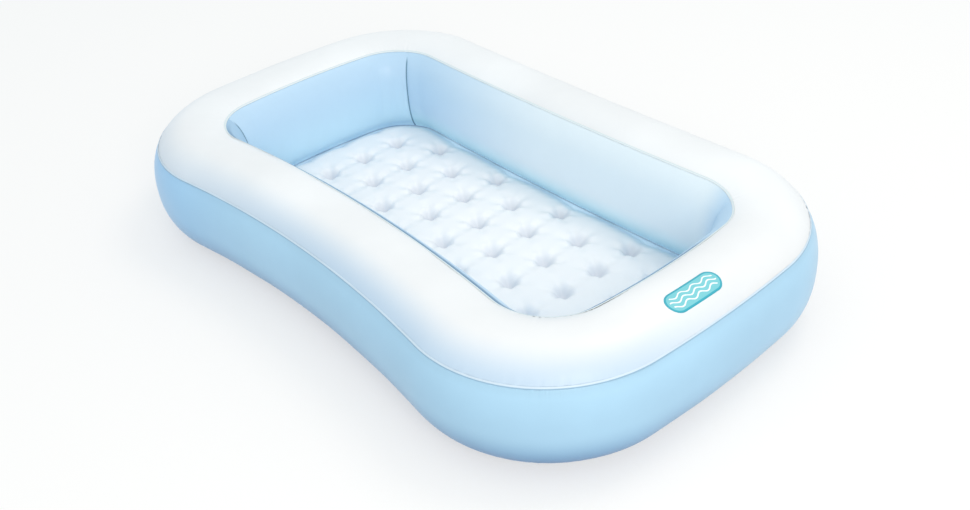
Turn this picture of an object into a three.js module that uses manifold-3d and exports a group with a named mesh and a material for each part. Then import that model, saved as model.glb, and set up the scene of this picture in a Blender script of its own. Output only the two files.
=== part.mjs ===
// An inflatable baby pool: an oblong ring of welded vinyl film whose long sides are drawn in, an air
// floor with staggered rows of weld spots, and two push-in air valves with hinged caps.
// Units are millimetres. X runs along the pool, the more strongly waisted side faces -Y, Z is up,
// and the origin is the middle of the base, on the ground.

import * as THREE from 'three';
import { mergeVertices } from 'three/addons/utils/BufferGeometryUtils.js';
import ManifoldModule from 'manifold-3d';

const wasm = await ManifoldModule();
wasm.setup();

// The ring seen from above
const ringLength = 1660;
const nearWaistHalfWidth = 479;
const farWaistHalfWidth = 498;
const nearWaistRadius = 2750;
const farWaistRadius = 20000;
const outerCornerRadius = 333;
const outerEndRadius = 3000;

// The air tube of the ring
const ringHeight = 275;
const endTubeWidth = 235;
const nearTubeWidth = 246;
const farTubeWidth = 242;
const innerNearWaistRadius = 4000;
const innerFarWaistRadius = 10500;
const innerFarCornerRadius = 92;
const innerNearCornerRadius = 80;
const innerEndRadius = 1660;
const groundFlattening = 4;
const sectionSquareness = 2.3;
const cornerCreaseDepth = 9;

// The welded film, and the seams between its panels
const filmThickness = 0.3;
const gap = 0.3;
const rimSeamWidth = 6;
const rimSeamRise = 1.1;
const baseSeamWidth = 8;
const baseSeamRise = 0.4;
const cornerSeamWidth = 5;
const cornerSeamRise = 0.5;
const lapSeamWidth = 10;
const lapSeamThickness = 0.5;

// Places round the tube's section, in degrees: 0 faces out, 90 up, 180 into the basin
const outerRimSeamAngle = 38.5;
const innerRimSeamAngle = 123.3;
const innerRimSeamRaise = 5;
const innerBaseSeamAngle = 234;
const outerBaseSeamAngle = -60;

// Where the inner rim seam is raised, in shares of the way round the ring from the right-hand end
const seamRaiseEndShare = 0.08;
const seamRaiseWaistPlaceShare = 0.786;
const seamRaiseWaistShare = 0.071;

// How many stations before the left-hand corners their upright seams stand
const leftCornerSeamShift = 1;

// The air floor
const pillowHeight = 40;
const weldSpotHeight = 9;
const weldSpotReach = 30;
const spotPitchAlong = 120;
const spotPitchAcross = 115;
const spotShiftAlong = -17;
const floorMargin = 12;
const floorRise = 44;
const spotMargin = 64;
const undersideReach = 24;
const cellsAlongPitch = 2;
const cellsAcrossPitch = 4;

// The patch on the rim at the right-hand end
const patchLength = 138;
const patchWidth = 48;
const patchThickness = 0.4;
const patchShiftAlong = -43;
const patchShiftOut = 38;

// The air valves
const flangeRadius = 21;
const flangeThickness = 0.8;
const collarTopRadius = 13.3;
const collarBottomRadius = 10.4;
const collarDepth = 15;
const collarWall = 0.8;
const stemRadius = 8;
const boreRadius = 5.5;
const stemBelowCollar = 1.5;
const stemAboveFlange = 0.4;
const stemRimRadius = 8.8;
const stemRimHeight = 1.2;
const capRadius = 9.5;
const capThickness = 1.6;
const plugLength = 5.7;
const hingeArm = 11;
const strapThickness = 1;
const strapWidth = 6;
const strapEnd = 0.5;
const lugHeight = 2.5;
const flapRadius = 6.9;
const flapThickness = 0.8;
const wallValveShiftAlong = -330;
const floorValveColumn = 1;
const floorValveRow = -1.5;
const lapSeamShiftAlong = 140;

// How finely the curves are cut into flats
const endSteps = 2;
const cornerSteps = 8;
const waistSteps = 4;
const roundSteps = 24;
const patchSteps = 6;

// Colours, as seen on the film
const white = 0xf3f5fb;
const blue = 0xaed6f1;
const paleBlue = 0xc3e2f7;
const seamBlue = 0x8fb9d6;
const floorWhite = 0xeef0fa;
const teal = 0x6cc5d0;
const clearVinyl = 0xdfe9ee;

const quarterTurn = Math.PI / 2;
const radians = THREE.MathUtils.degToRad;

function film(colour, roughness = 0.38) {
  return new THREE.MeshStandardMaterial({ color: colour, roughness, metalness: 0 });
}

// Outline of a waisted oblong: an end arc, a corner arc and a concave waist arc, each tangent to the next

function arc(centre, radius, from, to, steps) {
  const points = [];
  for (let step = 0; step <= steps; step += 1) {
    const angle = from + ((to - from) * step) / steps;
    const spoke = new THREE.Vector2(Math.cos(angle), Math.sin(angle));
    points.push(centre.clone().addScaledVector(spoke, radius));
  }
  return points;
}

function quarterOutline({ halfLength, waist, waistRadius, cornerRadius, endRadius }) {
  const endCentre = new THREE.Vector2(halfLength - endRadius, 0);
  const waistCentre = new THREE.Vector2(0, waist + waistRadius);
  const between = waistCentre.clone().sub(endCentre);
  const span = between.length();
  const fromEnd = endRadius - cornerRadius;
  const fromWaist = waistRadius + cornerRadius;
  const along = (fromEnd ** 2 - fromWaist ** 2 + span ** 2) / (2 * span);
  const across = Math.sqrt(fromEnd ** 2 - along ** 2);
  const direction = between.clone().normalize();
  const cornerCentre = endCentre.clone().addScaledVector(direction, along);
  cornerCentre.addScaledVector(new THREE.Vector2(direction.y, -direction.x), across);
  const endAngle = cornerCentre.clone().sub(endCentre).angle();
  const toCorner = cornerCentre.clone().sub(waistCentre);
  const waistAngle = Math.atan2(toCorner.y, toCorner.x);
  return [
    ...arc(endCentre, endRadius, 0, endAngle, endSteps).slice(0, -1),
    ...arc(cornerCentre, cornerRadius, endAngle, waistAngle + Math.PI, cornerSteps).slice(0, -1),
    ...arc(waistCentre, waistRadius, waistAngle, -quarterTurn, waistSteps),
  ];
}

function outline(far, near) {
  const mirrored = (points, x, y) => points.map((p) => new THREE.Vector2(p.x * x, p.y * y));
  const farQuarter = quarterOutline(far);
  const nearQuarter = quarterOutline(near);
  return [
    ...farQuarter.slice(0, -1),
    ...mirrored(farQuarter, -1, 1).reverse().slice(0, -1),
    ...mirrored(nearQuarter, -1, -1).slice(0, -1),
    ...mirrored(nearQuarter, 1, -1).reverse().slice(0, -1),
  ];
}

const outerShape = {
  halfLength: ringLength / 2,
  cornerRadius: outerCornerRadius,
  endRadius: outerEndRadius,
};
const innerShape = {
  halfLength: ringLength / 2 - endTubeWidth,
  endRadius: innerEndRadius,
};
const outerLoop = outline(
  { ...outerShape, waist: farWaistHalfWidth, waistRadius: farWaistRadius },
  { ...outerShape, waist: nearWaistHalfWidth, waistRadius: nearWaistRadius },
);
const innerLoop = outline(
  {
    ...innerShape,
    cornerRadius: innerFarCornerRadius,
    waist: farWaistHalfWidth - farTubeWidth,
    waistRadius: innerFarWaistRadius,
  },
  {
    ...innerShape,
    cornerRadius: innerNearCornerRadius,
    waist: nearWaistHalfWidth - nearTubeWidth,
    waistRadius: innerNearWaistRadius,
  },
);
const stationCount = outerLoop.length;
const stationsPerQuarter = stationCount / 4;
const cornerStations = [0, 1, 2, 3].map((quarter) => {
  const fromEndToCorner = endSteps + cornerSteps / 2;
  const mirroredQuarter = quarter % 2 === 1;
  const base = quarter * stationsPerQuarter;
  const corner = mirroredQuarter ? stationsPerQuarter - fromEndToCorner : fromEndToCorner;
  const atLeftEnd = quarter === 1 || quarter === 2;
  return base + corner - (atLeftEnd ? leftCornerSeamShift : 0);
});

// The inner rim seam runs higher along the right-hand end and beside the near waist
function innerRimAngle(station) {
  const place = ((station / stationCount) % 1 + 1) % 1;
  const fromEnd = Math.min(place, 1 - place);
  const alongEnd = Math.exp(-((fromEnd / seamRaiseEndShare) ** 4));
  const besideWaist = Math.exp(-(((place - seamRaiseWaistPlaceShare) / seamRaiseWaistShare) ** 4));
  return innerRimSeamAngle - innerRimSeamRaise * (alongEnd + besideWaist);
}

// The tube's section at any place round the ring

function pointAt(loop, station) {
  const before = Math.floor(station);
  const start = loop[((before % stationCount) + stationCount) % stationCount];
  const end = loop[(((before + 1) % stationCount) + stationCount) % stationCount];
  return start.clone().lerp(end, station - before);
}

function creaseAt(station, angle) {
  const nearest = Math.min(...cornerStations.map((corner) => Math.abs(station - corner)));
  const share = (angle - innerRimSeamAngle) / (innerBaseSeamAngle - innerRimSeamAngle);
  if (nearest >= 1 || share <= 0 || share >= 1) return 0;
  return cornerCreaseDepth * (1 - nearest) * Math.sin(Math.PI * share);
}

function sectionPoint(half, station, angle) {
  const power = 2 / sectionSquareness;
  const out = Math.cos(radians(angle));
  const up = Math.sin(radians(angle));
  const halfHeight = (ringHeight + groundFlattening) / 2;
  const u = half * Math.sign(out) * Math.abs(out) ** power + creaseAt(station, angle);
  const w = halfHeight * (1 + Math.sign(up) * Math.abs(up) ** power) - groundFlattening;
  return new THREE.Vector2(u, Math.max(w, 0));
}

function frameAt(station) {
  const outerPoint = pointAt(outerLoop, station);
  const innerPoint = pointAt(innerLoop, station);
  const half = outerPoint.distanceTo(innerPoint) / 2;
  const centre = outerPoint.clone().add(innerPoint).divideScalar(2);
  const outward = outerPoint.clone().sub(innerPoint).normalize();
  return { half, centre, outward };
}

function slopeAt(half, station, angle) {
  const reach = 0.5;
  const after = sectionPoint(half, station, angle + reach);
  const before = sectionPoint(half, station, angle - reach);
  const change = after.sub(before);
  const speed = change.length() / (2 * reach);
  const normal = new THREE.Vector2(change.y, -change.x).normalize();
  return { speed, normal };
}

// A point of the ring: round it by station, about its section by angle, and off its skin by rise
function ringPoint(station, angle, rise = 0) {
  const { half, centre, outward } = frameAt(station);
  const { normal } = slopeAt(half, station, angle);
  const place = sectionPoint(half, station, angle).addScaledVector(normal, rise);
  const flat = centre.clone().addScaledVector(outward, place.x);
  return new THREE.Vector3(flat.x, flat.y, place.y);
}

function angleBeside(station, angle, distance) {
  return angle + distance / slopeAt(frameAt(station).half, station, angle).speed;
}

// Closed solids from grids of points

function closedGeometry(positions, indices) {
  const geometry = new THREE.BufferGeometry();
  const flat = positions.flatMap((p) => [p.x, p.y, p.z]);
  geometry.setAttribute('position', new THREE.Float32BufferAttribute(flat, 3));
  geometry.setIndex(indices);
  return geometry;
}

function sheetSolid(front, back, closedRound) {
  const rows = front.length;
  const columns = front[0].length;
  const indices = [];
  const f = (row, column) => (row % rows) * columns + column;
  const b = (row, column) => rows * columns + f(row, column);
  const quad = (p, q, r, s) => indices.push(p, q, r, p, r, s);
  const end = columns - 1;
  for (let row = 0; row < (closedRound ? rows : rows - 1); row += 1) {
    const next = row + 1;
    for (let column = 0; column < end; column += 1) {
      quad(f(row, column), f(next, column), f(next, column + 1), f(row, column + 1));
      quad(b(row, column), b(row, column + 1), b(next, column + 1), b(next, column));
    }
    quad(f(row, 0), b(row, 0), b(next, 0), f(next, 0));
    quad(f(row, end), f(next, end), b(next, end), b(row, end));
  }
  if (!closedRound) {
    const last = rows - 1;
    for (let column = 0; column < end; column += 1) {
      quad(f(0, column), f(0, column + 1), b(0, column + 1), b(0, column));
      quad(f(last, column), b(last, column), b(last, column + 1), f(last, column + 1));
    }
  }
  return closedGeometry([...front.flat(), ...back.flat()], indices);
}

// A skin of the ring between two angles, over the given stations
function skin(stations, anglesAt, riseAt, depth, closedRound) {
  const grid = (liftAt) => stations.map((station) => (
    anglesAt(station).map((angle, column) => ringPoint(station, angle, liftAt(column)))));
  return sheetSolid(grid(riseAt), grid(() => -depth), closedRound);
}

const everyStation = Array.from({ length: stationCount }, (_, index) => index);

function evenly(from, to, steps) {
  return Array.from({ length: steps + 1 }, (_, step) => from + ((to - from) * step) / steps);
}

// A panel runs between two seams and stops a gap short of each
function panelAngles(from, fromWidth, to, toWidth, steps) {
  return (station) => evenly(
    angleBeside(station, seamAngle(from, station), fromWidth / 2 + gap),
    angleBeside(station, seamAngle(to, station), -toWidth / 2 - gap),
    steps,
  );
}

// A seam keeps one angle round the ring, or follows a function of the station
function seamAngle(seam, station) {
  return typeof seam === 'function' ? seam(station) : seam;
}

function ringSeam(seam, width, rise) {
  const anglesAt = (station) => [-width / 2, 0, width / 2].map((aside) => (
    angleBeside(station, seamAngle(seam, station), aside)));
  const riseAt = (column) => (column === 1 ? rise : rise / 2);
  return skin(everyStation, anglesAt, riseAt, filmThickness, true);
}

// Cutting and joining

function toSolid(geometry) {
  const bare = geometry.clone();
  bare.deleteAttribute('normal');
  bare.deleteAttribute('uv');
  const merged = mergeVertices(bare);
  return new wasm.Manifold(new wasm.Mesh({
    numProp: 3,
    vertProperties: new Float32Array(merged.attributes.position.array),
    triVerts: new Uint32Array(merged.index.array),
  }));
}

function fromSolid(solid) {
  const mesh = solid.getMesh();
  const geometry = new THREE.BufferGeometry();
  geometry.setAttribute('position', new THREE.Float32BufferAttribute(mesh.vertProperties, 3));
  geometry.setIndex(Array.from(mesh.triVerts));
  return geometry;
}

function withHole(geometry, seat, radius, depth) {
  const drill = new THREE.CylinderGeometry(radius, radius, 2 * depth, roundSteps);
  drill.rotateX(quarterTurn);
  drill.applyMatrix4(seat);
  return fromSolid(toSolid(geometry).subtract(toSolid(drill)));
}

function lathe(profile) {
  const points = profile.map(([radius, height]) => new THREE.Vector2(radius, height));
  points.push(points[0].clone());
  return new THREE.LatheGeometry(points, roundSteps).rotateX(quarterTurn);
}

const pool = new THREE.Group();

function addPiece(name, geometry, material, group = pool) {
  const mesh = new THREE.Mesh(geometry, material);
  mesh.name = name;
  group.add(mesh);
  return mesh;
}

// Where the valves sit: Z out of the film, Y towards the cap's hinge

function valveSeat(origin, outward, towardsHinge) {
  const sideways = new THREE.Vector3().crossVectors(towardsHinge, outward);
  const seat = new THREE.Matrix4().makeBasis(sideways, towardsHinge, outward);
  return seat.setPosition(origin);
}

function farStationAt(x) {
  for (let station = 0; station < stationCount / 2; station += 1) {
    const here = outerLoop[station];
    const next = outerLoop[station + 1];
    if (here.x >= x && next.x < x) return station + (here.x - x) / (here.x - next.x);
  }
  return stationsPerQuarter;
}

const upwards = new THREE.Vector3(0, 0, 1);
const farwards = new THREE.Vector3(0, 1, 0);
const wallValveStation = farStationAt(wallValveShiftAlong);
const wallValveSpot = ringPoint(wallValveStation, 0);
const wallSeat = valveSeat(wallValveSpot, farwards, upwards);
const floorValveSpot = new THREE.Vector3(
  spotShiftAlong + floorValveColumn * spotPitchAlong,
  floorValveRow * spotPitchAcross,
  pillowHeight,
);
const floorSeat = valveSeat(floorValveSpot, upwards, farwards);
const filmHoleRadius = collarTopRadius + collarWall + 1.5 * gap;

// The ring's panels

function addRing() {
  const rim = panelAngles(outerRimSeamAngle, rimSeamWidth, innerRimAngle, rimSeamWidth, 6);
  addPiece('rim_top_panel', skin(everyStation, rim, () => 0, filmThickness, true), film(white));

  const wall = panelAngles(outerBaseSeamAngle, baseSeamWidth, outerRimSeamAngle, rimSeamWidth, 7);
  const wallSkin = skin(everyStation, wall, () => 0, filmThickness, true);
  const wallWithHole = withHole(wallSkin, wallSeat, filmHoleRadius, collarDepth);
  addPiece('outer_wall_panel', wallWithHole, film(blue));

  const flatHalf = Math.acos(flatEdgeShare() ** (sectionSquareness / 2));
  const flatSpread = 90 - THREE.MathUtils.radToDeg(flatHalf);
  const base = (station) => [
    angleBeside(station, innerBaseSeamAngle, baseSeamWidth / 2 + gap),
    270 - flatSpread,
    270 + flatSpread,
    angleBeside(station, outerBaseSeamAngle + 360, -baseSeamWidth / 2 - gap),
  ];
  addPiece('ring_base_panel', skin(everyStation, base, () => 0, filmThickness, true), film(blue));
}

// The half width of the flattened base, as a share of the tube's half width
function flatEdgeShare() {
  const drop = 1 - (2 * groundFlattening) / (ringHeight + groundFlattening);
  return (1 - drop ** sectionSquareness) ** (1 / sectionSquareness);
}

// How many stations a distance round the inner loop is, beside a corner
function stationsFor(distance, corner) {
  return distance / pointAt(innerLoop, corner).distanceTo(pointAt(innerLoop, corner + 1));
}

function addInnerWalls() {
  const names = ['far', 'left_end', 'near', 'right_end'];
  const wall = panelAngles(innerRimAngle, rimSeamWidth, innerBaseSeamAngle, baseSeamWidth, 6);
  names.forEach((name, side) => {
    const corner = cornerStations[side];
    const nextCorner = cornerStations[(side + 1) % 4] + (side === 3 ? stationCount : 0);
    const trim = stationsFor(cornerSeamWidth / 2 + gap, corner);
    const between = evenly(corner + 1, nextCorner - 1, nextCorner - corner - 2);
    const stations = [corner + trim, ...between, nextCorner - trim];
    const panel = skin(stations, wall, () => 0, filmThickness, false);
    addPiece(`inner_wall_panel_${name}`, panel, film(paleBlue));
    const aside = stationsFor(cornerSeamWidth / 2, corner);
    const ridge = [corner - aside, corner, corner + aside];
    const seam = skin(ridge, wall, () => cornerSeamRise, filmThickness, false);
    addPiece(`inner_corner_seam_${side + 1}`, seam, film(seamBlue));
  });
}

function addSeams() {
  const outerRim = ringSeam(outerRimSeamAngle, rimSeamWidth, rimSeamRise);
  const innerRim = ringSeam(innerRimAngle, rimSeamWidth, rimSeamRise);
  const outerBase = ringSeam(outerBaseSeamAngle, baseSeamWidth, baseSeamRise);
  const innerBase = ringSeam(innerBaseSeamAngle, baseSeamWidth, baseSeamRise);
  addPiece('outer_rim_seam', outerRim, film(seamBlue));
  addPiece('inner_rim_seam', innerRim, film(seamBlue));
  addPiece('outer_base_seam', outerBase, film(seamBlue));
  addPiece('inner_base_seam', innerBase, film(seamBlue));

  const middle = farStationAt(lapSeamShiftAlong);
  const chord = pointAt(outerLoop, Math.floor(middle)).distanceTo(
    pointAt(outerLoop, Math.floor(middle) + 1));
  const aside = lapSeamWidth / 2 / chord;
  const wall = panelAngles(outerBaseSeamAngle, baseSeamWidth, outerRimSeamAngle, rimSeamWidth, 7);
  const lift = gap + lapSeamThickness;
  const strip = skin([middle - aside, middle + aside], wall, () => lift, -gap, false);
  addPiece('outer_wall_lap_seam', strip, film(blue));
}

// The air floor: two sheets welded at their edge and at staggered spots

const floorEdgeHeight = ringPoint(0, innerBaseSeamAngle).z;

// The floor's edge follows the seam, a given distance in from it
function floorEdge(inset, stations = everyStation) {
  return stations.map((station) => {
    const { half, outward } = frameAt(station);
    const { normal } = slopeAt(half, station, innerBaseSeamAngle);
    const seam = ringPoint(station, innerBaseSeamAngle);
    const slope = normal.y / normal.x;
    const clear = (baseSeamRise + gap) / -normal.x + 2 * filmThickness * slope;
    const back = clear + inset;
    return new THREE.Vector2(seam.x - outward.x * back, seam.y - outward.y * back);
  });
}

function distanceInside(loop, point) {
  let nearest = Infinity;
  let inside = false;
  loop.forEach((start, index) => {
    const end = loop[(index + 1) % loop.length];
    const side = end.clone().sub(start);
    const share = THREE.MathUtils.clamp(
      point.clone().sub(start).dot(side) / side.lengthSq(), 0, 1);
    const foot = start.clone().addScaledVector(side, share);
    nearest = Math.min(nearest, foot.distanceTo(point));
    const crosses = (start.y > point.y) !== (end.y > point.y);
    const crossingX = start.x + ((point.y - start.y) / (end.y - start.y)) * side.x;
    if (crosses && point.x < crossingX) inside = !inside;
  });
  return inside ? nearest : -nearest;
}

const floorLoop = floorEdge(0);

function weldSpots() {
  const spots = [];
  const columns = Math.ceil(ringLength / spotPitchAlong / 2);
  const rows = Math.ceil(farWaistHalfWidth / spotPitchAcross);
  for (let column = -columns; column <= columns; column += 1) {
    const stagger = Math.abs(column) % 2 === 0 ? spotPitchAcross / 2 : 0;
    for (let row = -rows; row <= rows; row += 1) {
      const spot = new THREE.Vector2(
        spotShiftAlong + column * spotPitchAlong,
        row * spotPitchAcross + stagger,
      );
      if (distanceInside(floorLoop, spot) > spotMargin) spots.push(spot);
    }
  }
  return spots;
}

const spots = weldSpots();

// How far the film has recovered from the nearest weld spot: 0 on it, 1 well away
function freeShare(point, reach) {
  const nearest = Math.min(...spots.map((spot) => spot.distanceTo(point)));
  return 1 - Math.exp(-((nearest / reach) ** 2));
}

function topHeight(point) {
  const rise = (distanceInside(floorLoop, point) - floorMargin) / floorRise;
  const share = Math.sin(quarterTurn * THREE.MathUtils.clamp(rise, 0, 1));
  const skinHeight = floorEdgeHeight + (pillowHeight - floorEdgeHeight) * share;
  return weldSpotHeight + (skinHeight - weldSpotHeight) * freeShare(point, weldSpotReach);
}

function bottomHeight(point) {
  const fall = (distanceInside(floorLoop, point) - floorMargin) / floorRise;
  const share = Math.sin(quarterTurn * THREE.MathUtils.clamp(fall, 0, 1));
  const edge = floorEdgeHeight - filmThickness - gap;
  const spotTop = weldSpotHeight - filmThickness - gap;
  const skinHeight = filmThickness + (edge - filmThickness) * (1 - share);
  const freed = freeShare(point, undersideReach);
  return spotTop + (skinHeight - spotTop) * freed;
}

// Lattice nodes column by column, from the lowest to the highest row that is well inside the floor
function latticeColumns(step, clearOfEdge) {
  const columns = [];
  const count = Math.ceil(ringLength / step.x / 2);
  const rows = Math.ceil(farWaistHalfWidth / step.y);
  for (let column = -count; column <= count; column += 1) {
    const x = spotShiftAlong + column * step.x;
    const inside = [];
    for (let row = -rows; row <= rows; row += 1) {
      const node = new THREE.Vector2(x, row * step.y);
      if (distanceInside(floorLoop, node) > clearOfEdge) inside.push(row);
    }
    if (inside.length > 1) columns.push({ x, low: Math.min(...inside), high: Math.max(...inside) });
  }
  return columns;
}

// Stations as close together as the lattice's cells, for the rings inside the floor's edge
function fineStations(spacing) {
  return everyStation.flatMap((station) => {
    const chord = pointAt(innerLoop, station).distanceTo(pointAt(innerLoop, station + 1));
    const parts = Math.max(1, Math.round(chord / spacing));
    return evenly(station, station + 1, parts).slice(0, -1);
  });
}

function floorSheet(heightAt, cellsAlong, cellsAcross) {
  const step = new THREE.Vector2(spotPitchAlong / cellsAlong, spotPitchAcross / cellsAcross);
  const ringInset = floorMargin + floorRise / 4;
  const points = [...floorEdge(0), ...floorEdge(ringInset, fineStations(step.x))];
  const edge = everyStation;
  const ring = Array.from({ length: points.length - stationCount }, (_, k) => stationCount + k);
  const triangles = [];
  const columns = latticeColumns(step, ringInset + step.y / 2);
  const nodeIndex = new Map();
  const node = (column, row) => {
    const key = `${column} ${row}`;
    if (!nodeIndex.has(key)) {
      nodeIndex.set(key, points.length);
      points.push(new THREE.Vector2(columns[column].x, row * step.y));
    }
    return nodeIndex.get(key);
  };
  const below = [];
  const above = [];
  for (let column = 0; column + 1 < columns.length; column += 1) {
    const low = Math.max(columns[column].low, columns[column + 1].low);
    const high = Math.min(columns[column].high, columns[column + 1].high);
    for (let row = low; row < high; row += 1) {
      const corners = [node(column, row), node(column + 1, row)];
      corners.push(node(column + 1, row + 1), node(column, row + 1));
      const [a, b, c, d] = corners;
      const rising = (column + row) % 2 === 0;
      if (rising) triangles.push([a, b, c], [a, c, d]);
      else triangles.push([a, b, d], [b, c, d]);
    }
    below.push([column, low], [column + 1, low]);
    above.push([column, high], [column + 1, high]);
  }
  const latticeEdge = edgeNodes([...below, ...above.reverse()], node);
  stitch(edge, ring, points, triangles);
  stitch(ring, latticeEdge, points, triangles);
  return sheetFromTriangles(points, triangles, heightAt);
}

// Every node on the stepped edge of the lattice, in order
function edgeNodes(corners, node) {
  const path = [];
  corners.forEach(([column, row], index) => {
    const [nextColumn, nextRow] = corners[(index + 1) % corners.length];
    const way = Math.sign(nextRow - row);
    path.push(node(column, row));
    if (column === nextColumn) {
      for (let between = row + way; way !== 0 && between !== nextRow; between += way) {
        path.push(node(column, between));
      }
    }
  });
  return path.filter((index, place) => index !== path[(place + 1) % path.length]);
}

// Triangles between a loop and the loop inside it, both anticlockwise, always across the shorter diagonal
function stitch(outside, inside, points, triangles) {
  const away = (a, b) => points[a].distanceTo(points[b]);
  const start = outside[0];
  const nearest = inside.reduce((best, index) => (away(index, start) < away(best, start) ? index : best));
  const turned = inside.indexOf(nearest);
  const inner = [...inside.slice(turned), ...inside.slice(0, turned), nearest];
  const outer = [...outside, start];
  let here = 0;
  let there = 0;
  while (here + 1 < outer.length || there + 1 < inner.length) {
    const outerStep = here + 1 < outer.length ? away(outer[here + 1], inner[there]) : Infinity;
    const innerStep = there + 1 < inner.length ? away(outer[here], inner[there + 1]) : Infinity;
    if (outerStep < innerStep) {
      triangles.push([outer[here], outer[here + 1], inner[there]]);
      here += 1;
    } else {
      triangles.push([outer[here], inner[there + 1], inner[there]]);
      there += 1;
    }
  }
}

function sheetFromTriangles(points, triangles, heightAt) {
  const heights = points.map(heightAt);
  const top = points.map((p, index) => new THREE.Vector3(p.x, p.y, heights[index]));
  const under = points.map((p, index) => new THREE.Vector3(p.x, p.y, heights[index] - filmThickness));
  const shift = points.length;
  const indices = [];
  triangles.forEach(([a, b, c]) => {
    indices.push(a, b, c, a + shift, c + shift, b + shift);
  });
  everyStation.forEach((station) => {
    const next = (station + 1) % stationCount;
    indices.push(station, station + shift, next + shift, station, next + shift, next);
  });
  return closedGeometry([...top, ...under], indices);
}

function addFloor() {
  const upper = floorSheet(topHeight, cellsAlongPitch, cellsAcrossPitch);
  const drilled = withHole(upper, floorSeat, filmHoleRadius, collarDepth);
  addPiece('floor_top_sheet', drilled, film(floorWhite, 0.45));
  const lower = floorSheet(bottomHeight, cellsAlongPitch, cellsAcrossPitch / 2);
  addPiece('floor_bottom_sheet', lower, film(white, 0.45));
}

// The angle where the tube's upper half is a given distance out from its middle
function angleOver(station, out) {
  const share = Math.abs(out) / frameAt(station).half;
  const lean = THREE.MathUtils.radToDeg(Math.acos(share ** (sectionSquareness / 2)));
  return out > 0 ? lean : 180 - lean;
}

// The patch lies on the rim, a gap above its film

function addPatch() {
  const chord = pointAt(outerLoop, 0).distanceTo(pointAt(outerLoop, 1));
  const middle = patchShiftAlong / chord;
  const endRadius = patchWidth / 2;
  const straight = patchLength / 2 - endRadius;
  const endTurn = evenly(0, 80, 3).map(radians);
  const pastStraight = endTurn.map((angle) => straight + endRadius * Math.sin(angle));
  const places = [...pastStraight.map((along) => -along).reverse(), ...pastStraight];
  const halfWidthAt = (along) => {
    const past = Math.max(Math.abs(along) - straight, 0);
    return Math.sqrt(endRadius ** 2 - past ** 2);
  };
  const stations = places.map((along) => middle + along / chord);
  const anglesAt = (station) => {
    const half = halfWidthAt((station - middle) * chord);
    const across = evenly(patchShiftOut + half, patchShiftOut - half, patchSteps);
    return across.map((out) => angleOver(station, out));
  };
  const patch = skin(stations, anglesAt, () => gap + patchThickness, -gap, false);
  addPiece('rim_badge_patch', patch, film(teal, 0.5));
}

// One air valve, drawn with its film at Z = 0 and its cap's hinge at +Y

const stemTop = gap + flangeThickness + stemAboveFlange;
const stemFoot = -collarDepth - stemBelowCollar;
const capFoot = stemTop + gap;
const hingeHeight = capFoot + capThickness / 2;

function flangeAndCollar() {
  return lathe([
    [flangeRadius, gap],
    [flangeRadius, gap + flangeThickness],
    [collarTopRadius, gap + flangeThickness],
    [collarBottomRadius, collarWall - collarDepth],
    [stemRadius + gap, collarWall - collarDepth],
    [stemRadius + gap, -collarDepth],
    [collarBottomRadius + collarWall, -collarDepth],
    [collarTopRadius + collarWall, gap],
  ]);
}

function stem() {
  const tube = lathe([
    [boreRadius, stemFoot],
    [stemRadius, stemFoot],
    [stemRadius, stemTop - stemRimHeight],
    [stemRimRadius, stemTop - stemRimHeight],
    [stemRimRadius, stemTop],
    [boreRadius, stemTop],
  ]);
  const lugReach = hingeArm + strapEnd - boreRadius - gap;
  const lugTop = hingeHeight - Math.hypot(strapEnd, strapThickness / 2) - gap / 3;
  const lug = new THREE.BoxGeometry(strapWidth, lugReach, lugHeight);
  const lugMiddle = boreRadius + gap + lugReach / 2;
  lug.translate(0, lugMiddle, lugTop - lugHeight / 2);
  const notch = new THREE.CylinderGeometry(stemRimRadius, stemRimRadius, 2 * lugHeight, roundSteps);
  notch.rotateX(quarterTurn).translate(0, 0, stemTop + lugHeight);
  return fromSolid(toSolid(tube).add(toSolid(lug)).subtract(toSolid(notch)));
}

// The plug tapers so that it swings out of the bore about the hinge without touching it
function plugRadius(height) {
  const reach = (hingeArm + boreRadius - gap) ** 2 + (hingeHeight - stemTop) ** 2;
  return Math.sqrt(reach - (hingeHeight - height) ** 2) - hingeArm;
}

function cap() {
  const plugFoot = stemTop - plugLength;
  const disc = lathe([
    [0, plugFoot],
    ...evenly(plugFoot, capFoot, 3).map((height) => [plugRadius(height), height]),
    [capRadius, capFoot],
    [capRadius, capFoot + capThickness],
    [0, capFoot + capThickness],
  ]);
  const strapReach = hingeArm + strapEnd - boreRadius;
  const strap = new THREE.BoxGeometry(strapWidth, strapReach, strapThickness);
  strap.translate(0, boreRadius + strapReach / 2, hingeHeight);
  return fromSolid(toSolid(disc).add(toSolid(strap)));
}

function flap() {
  const top = stemFoot - gap;
  const disc = new THREE.CylinderGeometry(flapRadius, flapRadius, flapThickness, roundSteps);
  return disc.rotateX(quarterTurn).translate(0, 0, top - flapThickness / 2);
}

function addValve(name, seat) {
  const valve = new THREE.Group();
  valve.applyMatrix4(seat);
  pool.add(valve);
  addPiece(`${name}_valve_flange`, flangeAndCollar(), film(clearVinyl), valve);
  addPiece(`${name}_valve_stem`, stem(), film(clearVinyl), valve);
  addPiece(`${name}_valve_cap`, cap(), film(clearVinyl), valve);
  addPiece(`${name}_valve_flap`, flap(), film(clearVinyl), valve);
}

addRing();
addInnerWalls();
addSeams();
addFloor();
addPatch();
addValve('wall', wallSeat);
addValve('floor', floorSeat);

// The two long sides differ, so the finished pool is moved until its base's middle is the origin
const middle = new THREE.Box3().setFromObject(pool, true).getCenter(new THREE.Vector3());
pool.position.set(-middle.x, -middle.y, 0);

export default pool;
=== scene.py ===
"""An inflatable baby pool: welded film panels, an air floor and two air valves, on the packed frame."""

import math

import bpy
import numpy as np
from mathutils import Matrix, Vector
from mathutils.geometry import delaunay_2d_cdt


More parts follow.
